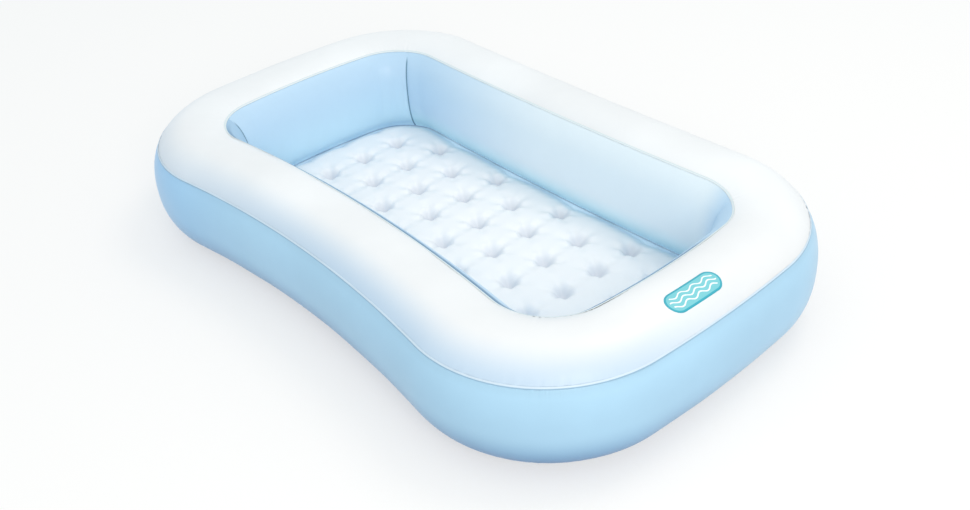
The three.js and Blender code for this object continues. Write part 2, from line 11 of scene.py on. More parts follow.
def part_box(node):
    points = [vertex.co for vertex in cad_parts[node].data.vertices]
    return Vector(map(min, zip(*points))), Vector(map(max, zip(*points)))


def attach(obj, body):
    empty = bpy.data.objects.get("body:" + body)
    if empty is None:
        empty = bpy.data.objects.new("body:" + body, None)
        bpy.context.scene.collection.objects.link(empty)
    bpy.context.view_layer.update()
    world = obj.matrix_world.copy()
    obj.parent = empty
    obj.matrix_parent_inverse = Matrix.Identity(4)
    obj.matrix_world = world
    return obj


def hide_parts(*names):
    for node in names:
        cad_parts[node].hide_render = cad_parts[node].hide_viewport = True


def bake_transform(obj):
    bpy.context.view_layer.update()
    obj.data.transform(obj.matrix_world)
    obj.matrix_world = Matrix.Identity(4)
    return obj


bl_info = {
    "name": "Inflatable baby pool",
    "version": (1, 0, 0),
    "blender": (4, 5, 0),
    "location": "3D View > Sidebar > Pool",
    "description": "Models an oblong inflatable pool from welded film panels, with an air floor and valves",
    "category": "Add Mesh",
}

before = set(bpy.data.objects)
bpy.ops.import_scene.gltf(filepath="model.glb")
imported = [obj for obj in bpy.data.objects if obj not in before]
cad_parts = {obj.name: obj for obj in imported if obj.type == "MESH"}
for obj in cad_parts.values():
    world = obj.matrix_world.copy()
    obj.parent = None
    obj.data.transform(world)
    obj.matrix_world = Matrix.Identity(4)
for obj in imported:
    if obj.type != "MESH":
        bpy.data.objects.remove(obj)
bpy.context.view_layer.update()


# Sizes and colours that a user may change

def length(name, description, default):
    """A size in metres."""
    return bpy.props.FloatProperty(
        name=name, description=description, default=default, unit="LENGTH", precision=4)


def place(name, description, default):
    """A place in metres."""
    return bpy.props.FloatVectorProperty(
        name=name, description=description, default=default, subtype="TRANSLATION", size=3)


def angle(name, description, degrees):
    """An angle. Round the tube's section 0 faces out, 90 up and 180 into the basin."""
    return bpy.props.FloatProperty(
        name=name, description=description, default=math.radians(degrees), subtype="ANGLE")


def share(name, description, default):
    """A share of the way round the ring."""
    return bpy.props.FloatProperty(name=name, description=description, default=default, precision=3)


def number(name, description, default, unit="NONE"):
    """A value that is no length, with its unit where it has one."""
    return bpy.props.FloatProperty(name=name, description=description, default=default, unit=unit)


def colour(name, description, red, green, blue):
    """A colour as it is seen, from 0 to 255."""
    seen = [linear(channel) for channel in (red, green, blue)]
    return bpy.props.FloatVectorProperty(
        name=name, description=description, default=seen, subtype="COLOR", size=3, min=0, max=1)


def linear(channel):
    """The light that a shader needs for a colour channel seen as 0 to 255."""
    share = channel / 255
    return share / 12.92 if share <= 0.04045 else ((share + 0.055) / 1.055) ** 2.4


class PoolRingSizes(bpy.types.PropertyGroup):
    """The ring's plan and its air tube."""
    ring_length: length("Length", "Length of the pool over the ring", 1.66)
    ring_height: length("Height", "Height of the ring's tube", 0.275)
    end_tube: length("End tube", "Width of the tube at the two ends", 0.235)
    near_tube: length("Near tube", "Width of the tube at the drawn-in side", 0.246)
    far_tube: length("Far tube", "Width of the tube at the straight side", 0.242)
    near_waist: length("Near waist", "Half width of the pool at the drawn-in side", 0.479)
    far_waist: length("Far waist", "Half width of the pool at the straight side", 0.498)
    near_waist_radius: length("Near waist radius", "Outer curve of the drawn-in side", 2.75)
    far_waist_radius: length("Far waist radius", "Outer curve of the straight side", 20.0)
    inner_near_radius: length("Inner near radius", "Inner curve of the drawn-in side", 4.0)
    inner_far_radius: length("Inner far radius", "Inner curve of the straight side", 10.5)
    outer_corner: length("Outer corner", "Radius of the ring's outer corners", 0.333)
    far_corner: length("Far corner", "Radius of the basin's corners on the straight side", 0.092)
    near_corner: length("Near corner", "Radius of the basin's corners on the drawn-in side", 0.080)
    outer_end: length("Outer end", "Outer curve of the two ends", 3.0)
    inner_end: length("Inner end", "Inner curve of the two ends", 1.66)
    shift_across: length("Shift across", "Moves the plan so that the middle is the origin", 0.006742)
    flattening: length("Flattening", "How far the tube is pressed flat on the ground", 0.004)
    crease_depth: length("Crease depth", "How deep the basin's corner welds draw the film in", 0.009)
    squareness: number("Squareness", "Roundness of the tube's section, 2 for an ellipse", 2.3)
    crease_reach: length("Crease reach", "How far from a corner weld the film is still drawn in", 0.010)
    pucker: length("Pucker", "Depth of the small folds beside the welds on the straights", 0.00022)
    corner_pucker: length("Corner pucker", "Depth of the small folds beside the welds at corners", 0.0007)
    rim_outer_folds: length("Rim's outer folds", "How far folds reach over the rim from outside", 0.018)
    rim_inner_folds: length("Rim's inner folds", "How far folds reach over the rim from inside", 0.026)
    wall_low_folds: length("Wall's low folds", "How far folds reach up the outer wall", 0.024)
    wall_high_folds: length("Wall's high folds", "How far folds reach down the outer wall", 0.018)
    inner_high_folds: length("Inner high folds", "How far folds reach down the inner walls", 0.016)
    inner_low_folds: length("Inner low folds", "How far folds reach up the inner walls", 0.020)
    corner_folds: length("Corner folds", "Depth of the folds that run out of the corner welds", 0.0006)
    corner_fold_start: length("Corner fold start", "How soon those folds start beside the weld", 0.006)
    corner_fold_reach: length("Corner fold reach", "How far those folds run", 0.022)
    swell: length("Swell", "Depth of the long waves of the rim and the outer wall", 0.0009)
    inner_swell: length("Inner swell", "Depth of the long waves of the inner walls", 0.0006)
    film: length("Film", "Thickness of the film", 0.0003)


class PoolSeamSizes(bpy.types.PropertyGroup):
    """The welds between the panels."""
    rim_width: length("Rim weld", "Width of the welds along the rim", 0.006)
    rim_rise: length("Rim weld rise", "How far the rim welds stand proud", 0.0011)
    base_width: length("Base weld", "Width of the welds along the base", 0.008)
    base_rise: length("Base weld rise", "How far the base welds stand proud", 0.0004)
    corner_width: length("Corner weld", "Width of the welds in the basin's corners", 0.0036)
    corner_rise: length("Corner weld rise", "How far the corner welds stand proud", 0.0005)
    lap_width: length("Lap weld", "Width of the weld that closes the outer wall", 0.010)
    lap_rise: length("Lap weld rise", "How far the outer wall's lap stands proud", 0.0008)
    lap_place: length("Lap place", "Where the outer wall's lap lies along the far side", 0.140)
    panel_gap: length("Panel gap", "How far a panel's edge lies from the middle of its weld", 0.0005)
    foot_gap: length("Foot gap", "How far over the base weld the upright welds end", 0.005)
    head_gap: length("Head gap", "How far below the rim's weld the upright welds end", 0.004)
    outer_rim: angle("Outer rim weld", "Where the rim meets the outer wall", 38.5)
    inner_rim: angle("Inner rim weld", "Where the rim meets the inner wall", 123.3)
    inner_rim_swing: angle("Inner rim swing", "How much higher it runs along the right-hand end", 5)
    end_share: share("End share", "How far from that end it is still raised", 0.08)
    waist_place_share: share("Waist place", "Where it is raised beside the near waist", 0.786)
    waist_share: share("Waist share", "How far from that place it is still raised", 0.071)
    inner_base: angle("Inner base weld", "Where the inner wall meets the base", 234)
    outer_base: angle("Outer base weld", "Where the outer wall meets the base", -60)


class PoolFloorSizes(bpy.types.PropertyGroup):
    """The air floor and its weld spots."""
    pillow: length("Pillow", "Height of the floor's pillows", 0.040)
    spot_height: length("Spot height", "Height of the floor at a weld spot", 0.009)
    spot_flat: length("Spot radius", "Radius of the flat weld at the bottom of each hollow", 0.006)
    spot_side: length("Spot side", "Width of a hollow's steep side", 0.026)
    spot_reach: length("Spot reach", "How far from its weld spot the pillows still curve down", 0.062)
    valley: length("Valley", "Depth of the folds that run from one weld spot to the next", 0.0045)
    valley_at: length("Valley place", "Distance from a weld spot where those folds are deepest", 0.034)
    valley_reach: length("Valley reach", "How far from there those folds run", 0.022)
    pucker: length("Pucker", "Depth of the fine folds round a weld spot", 0.0002)
    pucker_from: length("Pucker start", "Distance from a weld spot that sets how fast they deepen", 0.02)
    pucker_reach: length("Pucker reach", "How far from a weld spot they run", 0.026)
    edge_fold: length("Edge fold", "Depth of the small folds along the floor's edge", 0.0005)
    edge_fold_at: length("Edge fold place", "Distance from the edge where they are deepest", 0.03)
    edge_fold_reach: length("Edge fold reach", "How far from there they run", 0.022)
    edge_strip: length("Edge strip", "Strip along the edge that stays clear of them", 0.004)
    under_reach: length("Under reach", "How wide a hollow shows under the floor", 0.024)
    pitch_along: length("Pitch along", "Distance between columns of weld spots", 0.120)
    pitch_across: length("Pitch across", "Distance between the weld spots of a column", 0.115)
    shift_along: length("Shift along", "Where the middle column of weld spots stands", -0.017)
    seat_margin: length("Seat margin", "How far the valve's level seat reaches past its flange", 0.002)
    seat_fade: length("Seat fade", "Distance over which the valve's seat runs out into the pillows", 0.022)
    margin: length("Margin", "Flat strip between the walls and the pillows", 0.005)
    rise: length("Rise", "Distance over which the pillows rise from the margin", 0.05)
    spot_margin: length("Spot margin", "Least distance of a weld spot from the walls", 0.0655)
    scallop: length("Scallop", "How far the pillows' edge swings between the columns", 0.007)
    # Painted shade: how far from the edge the margin's blue shade is painted.
    margin_shade_reach: length("Margin tint", "How far from the edge the margin's colour shows", 0.06)
    # Painted shade: how far round each weld spot the hollows' shade is painted.
    hollow_shade_reach: length("Hollow tint", "How far from a weld spot the hollow's colour shows", 0.024)
    grain: length("Grain", "Distance between the points of the upper sheet's mesh", 0.0046)
    under_grain: length("Under grain", "Distance between the points of the lower sheet's mesh", 0.01012)


class PoolPatchSizes(bpy.types.PropertyGroup):
    """The patch on the rim at the right-hand end."""
    patch_length: length("Length", "Length of the patch", 0.138)
    patch_width: length("Width", "Width of the patch", 0.048)
    thickness: length("Thickness", "Thickness of the patch", 0.0004)
    shift_along: length("Shift along", "How far its middle lies from the middle of the end", -0.043)
    shift_out: length("Shift out", "How far its middle lies out from the middle of the tube", 0.038)
    edge_round: length("Edge round", "Width over which its edge thins out", 0.002)


class PoolValveSizes(bpy.types.PropertyGroup):
    """The two air valves, each drawn with its film at height 0 and its hinge at +Y."""
    flange: length("Flange", "Radius of the welded flange", 0.021)
    flange_thickness: length("Flange thickness", "Thickness of the flange", 0.0008)
    collar_top: length("Collar top", "Radius of the soft collar at the flange", 0.0133)
    collar_foot: length("Collar foot", "Radius of the soft collar at its foot", 0.0104)
    collar_depth: length("Collar depth", "How deep the stem sits when pushed in", 0.015)
    stem: length("Stem", "Outer radius of the stem", 0.008)
    bore: length("Bore", "Radius of the air way", 0.0055)
    stem_rim: length("Stem rim", "Radius of the stem's lip", 0.0088)
    stem_top: length("Stem top", "Height of the stem's lip over the film", 0.0015)
    cap: length("Cap", "Radius of the cap", 0.0095)
    cap_thickness: length("Cap thickness", "Thickness of the cap", 0.0016)
    plug: length("Plug", "How far the cap's plug reaches into the stem", 0.0057)
    hinge: length("Hinge", "Distance from the stem's middle to the strap's hinge", 0.011)
    flap: length("Flap", "Radius of the non-return flap", 0.0069)
    flap_thickness: length("Flap thickness", "Thickness of the non-return flap", 0.0008)
    bead: length("Bead", "Width of the bead round the flange's mouth", 0.0012)
    bulge: length("Bulge", "How far the collar's wall bulges out", 0.0006)
    stem_foot: length("Stem foot", "How far the stem reaches below the collar", 0.0015)
    lip: length("Lip", "Height of the stem's lip", 0.0012)
    strap: length("Strap", "Half width of the cap's strap", 0.003)
    strap_thickness: length("Strap thickness", "Thickness of the cap's strap", 0.001)
    strap_end: length("Strap end", "How far strap and lug reach past the hinge", 0.0005)
    lug: length("Lug", "Height of the lug that holds the strap", 0.0022)
    lug_rise: length("Lug rise", "How far the lug stands over the stem's lip", 0.0003)
    overlap: length("Overlap", "How far strap, tab and lug run into what they are joined to", 0.001)
    lug_overlap: length("Lug overlap", "How far the lug runs into the stem", 0.0004)
    plug_play: length("Plug play", "How much narrower the plug is than the bore", 0.0005)
    plug_shoulder: length("Plug shoulder", "How much narrower the plug is where it starts to taper", 0.0004)
    plug_tip: length("Plug tip", "How much narrower the plug is at its tip", 0.0013)
    plug_taper: length("Plug taper", "Height of the plug's tapered tip", 0.0026)
    cap_edge: length("Cap edge", "Height over which the cap's top slopes", 0.0003)
    cap_slope: length("Cap slope", "Width over which the cap's top slopes", 0.0022)
    dish_floor: length("Dish floor", "Radius of the smallest ring of the cap's hollow", 0.0015)
    fine_bevel: length("Fine bevel", "Rounding of the flange and the flap", 0.0002)
    cap_bevel: length("Cap bevel", "Rounding of the cap", 0.00025)
    bevel: length("Bevel", "Rounding of the stem and the strap", 0.0003)
    broad_bevel: length("Broad bevel", "Rounding of the lug and the tab", 0.0004)
    tab: length("Tab", "How far the finger tab stands out from the cap", 0.0024)
    tab_half: length("Tab width", "Half width of the finger tab", 0.0026)
    tab_foot: length("Tab foot", "How far over the cap's foot the finger tab starts", 0.0002)
    dish: length("Dish", "Depth of the hollow in the cap's top", 0.0004)


class PoolColours(bpy.types.PropertyGroup):
    """The films' colours, as seen in plain light, some of them with painted light and shade as noted."""
    rim: colour("Rim", "The white film on top", 251, 251, 253)
    # Painted shade: a darker blue on the rim beside its outer weld, on the near side.
    rim_edge_shade: colour("Rim edge", "The rim's film beside its outer weld", 202, 221, 240)
    wall: colour("Wall", "The blue film round the outside", 191, 230, 255)
    # Painted shade: a deeper blue on the outer film at the left-hand end.
    wall_left_shade: colour("Left wall", "The outer film at the left-hand end", 166, 213, 255)
    # Painted shade: a dark band on the outer film beside the ground, on the near side.
    wall_foot_shade: colour("Wall foot", "The outer film beside the ground", 76, 139, 193)
    # Painted light: the far wall's film is a paler, lit copy of the inner film.
    far_inner_lit: colour("Far inner wall", "The paler film on the far side of the basin", 233, 244, 251)
    # Painted light: paler still beside the floor, against the shade at the wall's foot.
    far_foot_lit: colour("Far wall's foot", "The same film beside the floor", 206, 242, 255)
    inner: colour("Inner wall", "The film round the rest of the basin", 195, 223, 246)
    # Painted light: the inner walls turn paler beside the floor, against the shade at their foot; inner
    # above is their darker top.
    inner_foot_lit: colour("Inner wall's foot", "The same film beside the floor", 203, 236, 255)
    # Painted shade: the darker blue in the tuck of the near left-hand corner.
    tuck: colour("Tuck", "The inner film in its tuck in the near left-hand corner", 174, 206, 232)
    # Painted shade: the dark blue of the inner film where it turns over the near and right-hand edge.
    fold: colour("Fold", "The inner film where it turns over the near and right-hand edge", 98, 138, 174)
    base: colour("Base", "The film under the ring", 160, 203, 236)
    floor: colour("Floor", "The white film of the floor", 248, 249, 252)
    # Painted shade and blue light from the walls: the floor's margin is tinted pale blue, kept pale against
    # its shade.
    margin: colour("Margin", "The flat edge of the floor along the walls", 236, 248, 255)
    weld: colour("Weld", "The film where the rim is welded to the walls", 222, 238, 252)
    # Painted shadow: the dark line along the rim's outer weld and the base weld stands for the shadow under
    # the seam and at the ground.
    weld_shadow_line: colour("Weld line", "The fine line pressed along the rim's welds", 138, 182, 212)
    inner_weld: colour("Inner rim weld", "The film where rim and inner walls are welded", 238, 245, 248)
    inner_line: colour("Inner weld line", "The fine lines pressed along that weld", 218, 231, 235)
    # Painted light: an emission that lifts the shade at the foot of the inner walls and on the floor's
    # margin, though the film is no lamp.
    painted_crease_light: colour("Glow", "Daylight that comes through the film at the foot of the walls", 72, 82, 92)
    # Painted shade: the base weld is drawn darker than the films beside it, for the contact shade where the
    # ring meets the ground.
    shaded_base_weld: colour("Base weld", "The film where the outer wall is welded to the base", 132, 162, 190)
    # Painted light: the floor weld is drawn pale, against the shade of the crease at the walls' foot.
    lit_floor_weld: colour("Floor weld", "The film where inner walls and floor are welded", 228, 245, 255)
    # Painted shade: the corner welds are drawn dark for the shade in their creases; the far right-hand
    # corner's weld is left plain.
    corner_weld: colour("Corner weld", "The welds in the basin's corners", 122, 158, 182)
    # Painted shade: the cooler, greyer colour in the floor's hollows round the weld spots.
    hollow: colour("Hollow", "The floor's film in its hollows, where two layers are welded", 222, 227, 236)
    patch: colour("Patch", "The patch on the rim", 126, 207, 217)
    patch_edge: colour("Patch edge", "The edge and the waves' ground of the patch", 60, 172, 192)
    valve: colour("Valve", "The clear vinyl of the valves", 222, 234, 240)


class PoolStage(bpy.types.PropertyGroup):
    """The camera, the lamps and the ground."""
    azimuth: angle("Azimuth", "Direction of the camera, from the near side towards the right end", 49.868)
    elevation: angle("Elevation", "Height of the camera over the horizon", 34.676)
    roll: angle("Roll", "Tilt of the picture", -3.902)
    distance: length("Distance", "Distance of the camera from what it looks at", 2.641)
    target: place("Target", "What the camera looks at", (0.13928, 0.00297, 0.05157))
    lens: number("Lens", "Focal length on a 36 mm wide sensor", 40.98, unit="CAMERA")
    shift: bpy.props.FloatVectorProperty(
        name="Shift", description="Shift of the lens across and up, in picture widths",
        default=(-0.0168, -0.0038), size=2)
    sky: number("Sky", "Strength of the even light from all round", 0.87)
    sky_tint: colour("Sky tint", "The cool tint of the even light", 238, 249, 253)
    lamp_tint: colour("Lamp tint", "The warm tint of the lamps", 255, 241, 226)
    key: number("Key lamp", "Power of the broad lamp over the far side", 28, unit="POWER")
    front: number("Front lamp", "Power of the lower lamp on the near side", 38, unit="POWER")
    key_place: place("Key lamp's place", "Where the broad lamp stands", (0.6, 1.8, 4.0))
    key_width: length("Key lamp's width", "Width of the broad lamp", 1.8)
    front_place: place("Front lamp's place", "Where the lower lamp stands", (3.0, -1.5, 2.0))
    front_width: length("Front lamp's width", "Width of the lower lamp", 1.5)
    ground_size: length("Ground size", "Width of the ground", 30.0)
    shadow: number("Shadow", "How much of the pool's shadow shows on the ground", 0.47)
    ground: colour("Ground", "The pale ground, as the camera sees it", 255, 251, 249)
    ground_glow: colour("Ground light", "The light that the ground throws back at the pool", 184, 192, 201)


def sizes(group):
    """The sidebar's values of one group."""
    return getattr(bpy.context.scene, f"pool_{group}")


# How finely the films are cut: the length of a step round the ring in metres, and the columns across

RIM_STEP = 0.006
WALL_STEP = 0.007
BASE_STEP = 0.012
INNER_WALL_STEP = 0.009
WELD_STEP = 0.008
FLOOR_EDGE_STEP = 0.016
FILM_COLUMNS = 44
BASE_COLUMNS = 24
WELD_COLUMNS = 8
LAP_COLUMNS = 60
CORNER_WELD_COLUMNS = 40


# The ring in plan: end, corner and waist arcs, each tangent to the next, in four quarters

STATIONS = 56
QUARTER = STATIONS // 4
ARC_STARTS = (0, 2, 10, QUARTER)
CORNERS = (6, 21, 33, 50)


def quarter_arcs(half_length, waist, waist_radius, corner_radius, end_radius):
    """The three arcs of a quarter: centre, radius, first and last angle of each."""
    end_centre = np.array([half_length - end_radius, 0.0])
    waist_centre = np.array([0.0, waist + waist_radius])
    between = waist_centre - end_centre
    span = np.hypot(*between)
    from_end = end_radius - corner_radius
    from_waist = waist_radius + corner_radius
    along = (from_end ** 2 - from_waist ** 2 + span ** 2) / (2 * span)
    across = math.sqrt(from_end ** 2 - along ** 2)
    way = between / span
    corner_centre = end_centre + way * along + np.array([way[1], -way[0]]) * across
    to_end = corner_centre - end_centre
    to_waist = corner_centre - waist_centre
    end_angle = math.atan2(to_end[1], to_end[0])
    waist_angle = math.atan2(to_waist[1], to_waist[0])
    return [
        (end_centre, end_radius, 0.0, end_angle),
        (corner_centre, corner_radius, end_angle, waist_angle + math.pi),
        (waist_centre, waist_radius, waist_angle, -math.pi / 2),
    ]


def quarter_points(arcs, place):
    """Points at the given places of a quarter."""
    points = np.zeros(place.shape + (2,))
    for (centre, radius, start, stop), first, last in zip(arcs, ARC_STARTS, ARC_STARTS[1:]):
        here = (place >= first) & (place <= last)
        turn = start + (stop - start) * (place[here] - first) / (last - first)
        points[here] = centre + radius * np.stack([np.cos(turn), np.sin(turn)], -1)
    return points


class Ring:
    """The skin of the air ring: round it by station, about its section by angle."""

    def __init__(self):
        self.size = ring = sizes("ring")
        half = ring.ring_length / 2
        outer = {"corner_radius": ring.outer_corner, "end_radius": ring.outer_end}
        inner_half = half - ring.end_tube
        self.outer = (
            quarter_arcs(half, ring.far_waist, ring.far_waist_radius, **outer),
            quarter_arcs(half, ring.near_waist, ring.near_waist_radius, **outer),
        )
        self.inner = (
            quarter_arcs(inner_half, ring.far_waist - ring.far_tube, ring.inner_far_radius,
                         ring.far_corner, ring.inner_end),
            quarter_arcs(inner_half, ring.near_waist - ring.near_tube, ring.inner_near_radius,
                         ring.near_corner, ring.inner_end),
        )

    def plan(self, sides, station):
        """Points of the outer or inner outline, seen from above."""
        station = np.mod(station, STATIONS)
        quarter = np.minimum(station // QUARTER, 3).astype(int)
        place = station - QUARTER * quarter
        place = np.where(quarter % 2 == 1, QUARTER - place, place)
        far, near = (quarter_points(arcs, place) for arcs in sides)
        point = np.where((quarter < 2)[..., None], far, near)
        sign_x = np.where((quarter == 0) | (quarter == 3), 1, -1)
        sign_y = np.where(quarter < 2, 1, -1)
        return point * np.stack([sign_x, sign_y], -1) + np.array([0, self.size.shift_across])

    def frames(self, station):
        """Half width, middle and outward direction of the tube."""
        outer = self.plan(self.outer, station)
        inner = self.plan(self.inner, station)
        across = outer - inner
        width = np.linalg.norm(across, axis=-1)
        return width / 2, (outer + inner) / 2, across / width[..., None]

    def from_corners(self, station):
        """How many stations away each corner is."""
        return np.stack([(station - corner + STATIONS / 2) % STATIONS - STATIONS / 2
                         for corner in CORNERS])

    def corner_distance(self, station):
        """Distance round the basin from the nearest corner weld."""
        step = 1e-3
        here = self.plan(self.inner, station)
        speed = np.linalg.norm(self.plan(self.inner, station + step) - here, axis=-1) / step
        return np.abs(self.from_corners(station)).min(0) * speed

    def cornering(self, station):
        """1 in the middle of a corner and 0 on the straights."""
        reach = 2.4
        return np.exp(-(self.from_corners(station) / reach) ** 2).sum(0)

    def outside(self, start, stop):
        """Length of the outside between two stations, measured straight."""
        ends = self.plan(self.outer, np.array([start, stop], float))
        return float(np.linalg.norm(ends[1] - ends[0]))

    def section(self, half, station, turn):
        """Distance out from the tube's middle and height, with the corner welds' creases."""
        ring, seams = self.size, sizes("seams")
        power = 2 / ring.squareness
        out, up = np.cos(turn), np.sin(turn)
        share = np.clip((turn - seams.inner_rim) / (seams.inner_base - seams.inner_rim), 0, 1)
        near_corner = np.exp(-np.abs(self.corner_distance(station)) / ring.crease_reach)
        crease = ring.crease_depth * near_corner * np.sin(math.pi * share)
        u = half * np.sign(out) * np.abs(out) ** power + crease
        half_height = (ring.ring_height + ring.flattening) / 2
        w = half_height * (1 + np.sign(up) * np.abs(up) ** power) - ring.flattening
        return u, np.maximum(w, 0)

    def slope(self, half, station, turn):
        """How fast the section runs with the angle, and its outward normal."""
        reach = math.radians(0.5)
        u1, w1 = self.section(half, station, turn + reach)
        u0, w0 = self.section(half, station, turn - reach)
        change = np.stack([u1 - u0, w1 - w0], -1)
        run = np.maximum(np.linalg.norm(change, axis=-1), 1e-9)
        normal = np.stack([change[..., 1], -change[..., 0]], -1) / run[..., None]
        return run / (2 * reach), normal

    def points(self, station, turn, rise=0.0):
        """Points of the skin, lifted off it by rise."""
        half, middle, outward = self.frames(station)
        _, normal = self.slope(half, station, turn)
        u, w = self.section(half, station, turn)
        out = (u + normal[..., 0] * rise)[..., None]
        height = w + normal[..., 1] * rise
        return np.concatenate([middle + outward * out, height[..., None]], -1)

    def beside(self, station, turn, distance):
        """The angle that lies a distance round the section from another."""
        half, _, _ = self.frames(station)
        turn = turn + np.zeros(np.shape(station))
        speed, _ = self.slope(half, station, turn)
        return turn + distance / speed

    def inner_rim(self, station):
        """Where the rim meets the inner walls, higher along the right-hand end and the near waist."""
        seams = sizes("seams")
        place = np.mod(station, STATIONS) / STATIONS
        from_end = np.minimum(place, 1 - place)
        along_end = np.exp(-(from_end / seams.end_share) ** 4)
        beside_waist = np.exp(-((place - seams.waist_place_share) / seams.waist_share) ** 4)
        return seams.inner_rim - seams.inner_rim_swing * (along_end + beside_waist)

    def stations(self, spacing, first=0, last=STATIONS):
        """Stations about a spacing apart along the outside, both ends included."""
        found = []
        marks = [first, *range(math.floor(first) + 1, math.ceil(last)), last]
        for start, stop in zip(marks, marks[1:]):
            parts = max(1, round(self.outside(start, stop) / spacing))
            found.extend(start + (stop - start) * np.arange(parts) / parts)
        return np.array([*found, last], float)

    def far_station(self, x):
        """The station of the far side at a place along the pool."""
        fine = np.linspace(0, STATIONS / 2, 4001)
        return float(fine[np.abs(self.plan(self.outer, fine)[:, 0] - x).argmin()])


def ripple(run, whole, counts, phases):
    """A wave of uneven folds that closes on itself round the ring."""
    waves = [np.sin(2 * math.pi * count * run / whole + phase)
             for count, phase in zip(counts, phases)]
    return sum(waves) / len(waves)


# Meshes

def new_piece(name, vertices, faces, uvs=None):
    """A smooth mesh object from points and faces, with a UV map in metres where one is given."""
    mesh = bpy.data.meshes.new(name)
    mesh.from_pydata([tuple(v) for v in vertices], [], [tuple(f) for f in faces])
    if uvs is not None:
        layer = mesh.uv_layers.new(name="film")
        layer.data.foreach_set("uv", np.asarray(uvs, np.float32).ravel())
    mesh.validate()
    mesh.polygons.foreach_set("use_smooth", [True] * len(mesh.polygons))
    piece = bpy.data.objects.new(name, mesh)
    bpy.context.scene.collection.objects.link(piece)
    return piece


def film_piece(name, front, back, run, fall, closed):
    """A closed sheet of film between two grids of points, rows round the ring and columns across it.

    run and fall are the distances along and across the film, for its UV map."""
    rows, columns = front.shape[:2]
    faces, uvs = [], []

    def face(*corners):
        faces.append([layer * rows * columns + (row % rows) * columns + column
                      for row, column, layer in corners])
        uvs.extend((run[row], fall[column]) for row, column, layer in corners)

    last = columns - 1
    for row in range(rows if closed else rows - 1):
        for column in range(last):
            face((row, column, 0), (row + 1, column, 0), (row + 1, column + 1, 0), (row, column + 1, 0))
            face((row, column, 1), (row, column + 1, 1), (row + 1, column + 1, 1), (row + 1, column, 1))
        face((row, 0, 0), (row, 0, 1), (row + 1, 0, 1), (row + 1, 0, 0))
        face((row, last, 0), (row + 1, last, 0), (row + 1, last, 1), (row, last, 1))
    if not closed:
        end = rows - 1
        for column in range(last):
            face((0, column, 0), (0, column + 1, 0), (0, column + 1, 1), (0, column, 1))
            face((end, column, 0), (end, column, 1), (end, column + 1, 1), (end, column + 1, 0))
    return new_piece(name, np.concatenate([front.reshape(-1, 3), back.reshape(-1, 3)]), faces, uvs)


def place_piece(piece, body, material, node=None):
    """Gives a finished piece its material and the body it rides on, and hides the CAD piece that it stands
    for.
    """
    piece.data.materials.clear()
    piece.data.materials.append(material)
    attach(piece, body)
    if node:
        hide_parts(node)
    return piece


# Materials

class Wire:
    """A node's output that can be used in sums, each of which adds a Math node."""

    def __init__(self, tree, socket):
        self.tree = tree
        self.socket = socket

    def math(self, operation, *others):
        """This value put through a Math node, with others after it."""
        return node(self.tree, "ShaderNodeMath", {"operation": operation},
                    dict(enumerate((self, *others))))[0]

    def __add__(self, other):
        return self.math("ADD", other)

    def __radd__(self, other):
        return self.math("ADD", other)

    def __sub__(self, other):
        return self.math("SUBTRACT", other)

    def __rsub__(self, other):
        return self.math("MULTIPLY_ADD", -1.0, other)

    def __mul__(self, other):
        return self.math("MULTIPLY", other)

    def __rmul__(self, other):
        return self.math("MULTIPLY", other)

    def __truediv__(self, other):
        return self.math("DIVIDE", other)

    def between(self, low, high):
        """0 below low, 1 above high, and smooth between them."""
        settings = {"interpolation_type": "SMOOTHSTEP"}
        return node(self.tree, "ShaderNodeMapRange", settings, {"Value": self, 1: low, 2: high})[0]


def node(tree, kind, settings=None, inputs=None):
    """Adds a node with its settings, fills or links its sockets, and gives its outputs as wires."""
    made = tree.nodes.new(kind)
    for name, value in (settings or {}).items():
        setattr(made, name, value)
    for name, value in (inputs or {}).items():
        socket = made.inputs[name]
        if isinstance(value, Wire):
            tree.links.new(value.socket, socket)
        else:
            socket.default_value = value
    return [Wire(tree, socket) for socket in made.outputs if socket.enabled]


def mixed(tree, share, first, second):
    """A colour between two others."""
    return node(tree, "ShaderNodeMix", {"data_type": "RGBA"}, {0: share, 6: first, 7: second})[0]


def noise(tree, place, scale, detail=2.0):
    """Cloudy values from 0 to 1."""
    inputs = {"Vector": place, "Scale": scale, "Detail": detail}
    return node(tree, "ShaderNodeTexNoise", {}, inputs)[0]


def bumped(tree, height, distance, strength=1.0, under=None):
    """A normal from a height from 0 to 1."""
    inputs = {"Height": height, "Distance": distance, "Strength": strength}
    if under is not None:
        inputs["Normal"] = under
    return node(tree, "ShaderNodeBump", {}, inputs)[0]


def object_place(tree):
    """The place on the object, in metres."""
    return node(tree, "ShaderNodeTexCoord")[3]


def opaque(shade):
    """A colour with its alpha."""
    return (*shade, 1.0)


def tinted(shade, factor):
    """A darker or paler colour of the same hue."""
    return opaque([min(channel * factor, 1.0) for channel in shade])


def new_material(name, shade, roughness, coat=0.0):
    """A material with its shader, and the tree to build on."""
    material = bpy.data.materials.new(name)
    material.use_nodes = True
    material.diffuse_color = opaque(shade)
    tree = material.node_tree
    shader = tree.nodes["Principled BSDF"]
    shader.inputs["Base Color"].default_value = opaque(shade)
    shader.inputs["Roughness"].default_value = roughness
    shader.inputs["Specular IOR Level"].default_value = 0.3
    shader.inputs["Coat Weight"].default_value = coat
    shader.inputs["Coat Roughness"].default_value = 0.18
    shader.inputs["IOR"].default_value = 1.5
    return material, tree, shader


def feed(shader, name, wire):
    """Links a wire to one of the shader's sockets."""
    wire.tree.links.new(wire.socket, shader.inputs[name])


def add_painted_light(shader, painted_crease_light, share):
    """Adds painted light as emission, where share is above 0, to lift the shade at the foot of the walls.
    """
    shader.inputs["Emission Strength"].default_value = 1.0
    feed(shader, "Emission Color", mixed(share.tree, share, opaque((0, 0, 0)), opaque(painted_crease_light)))


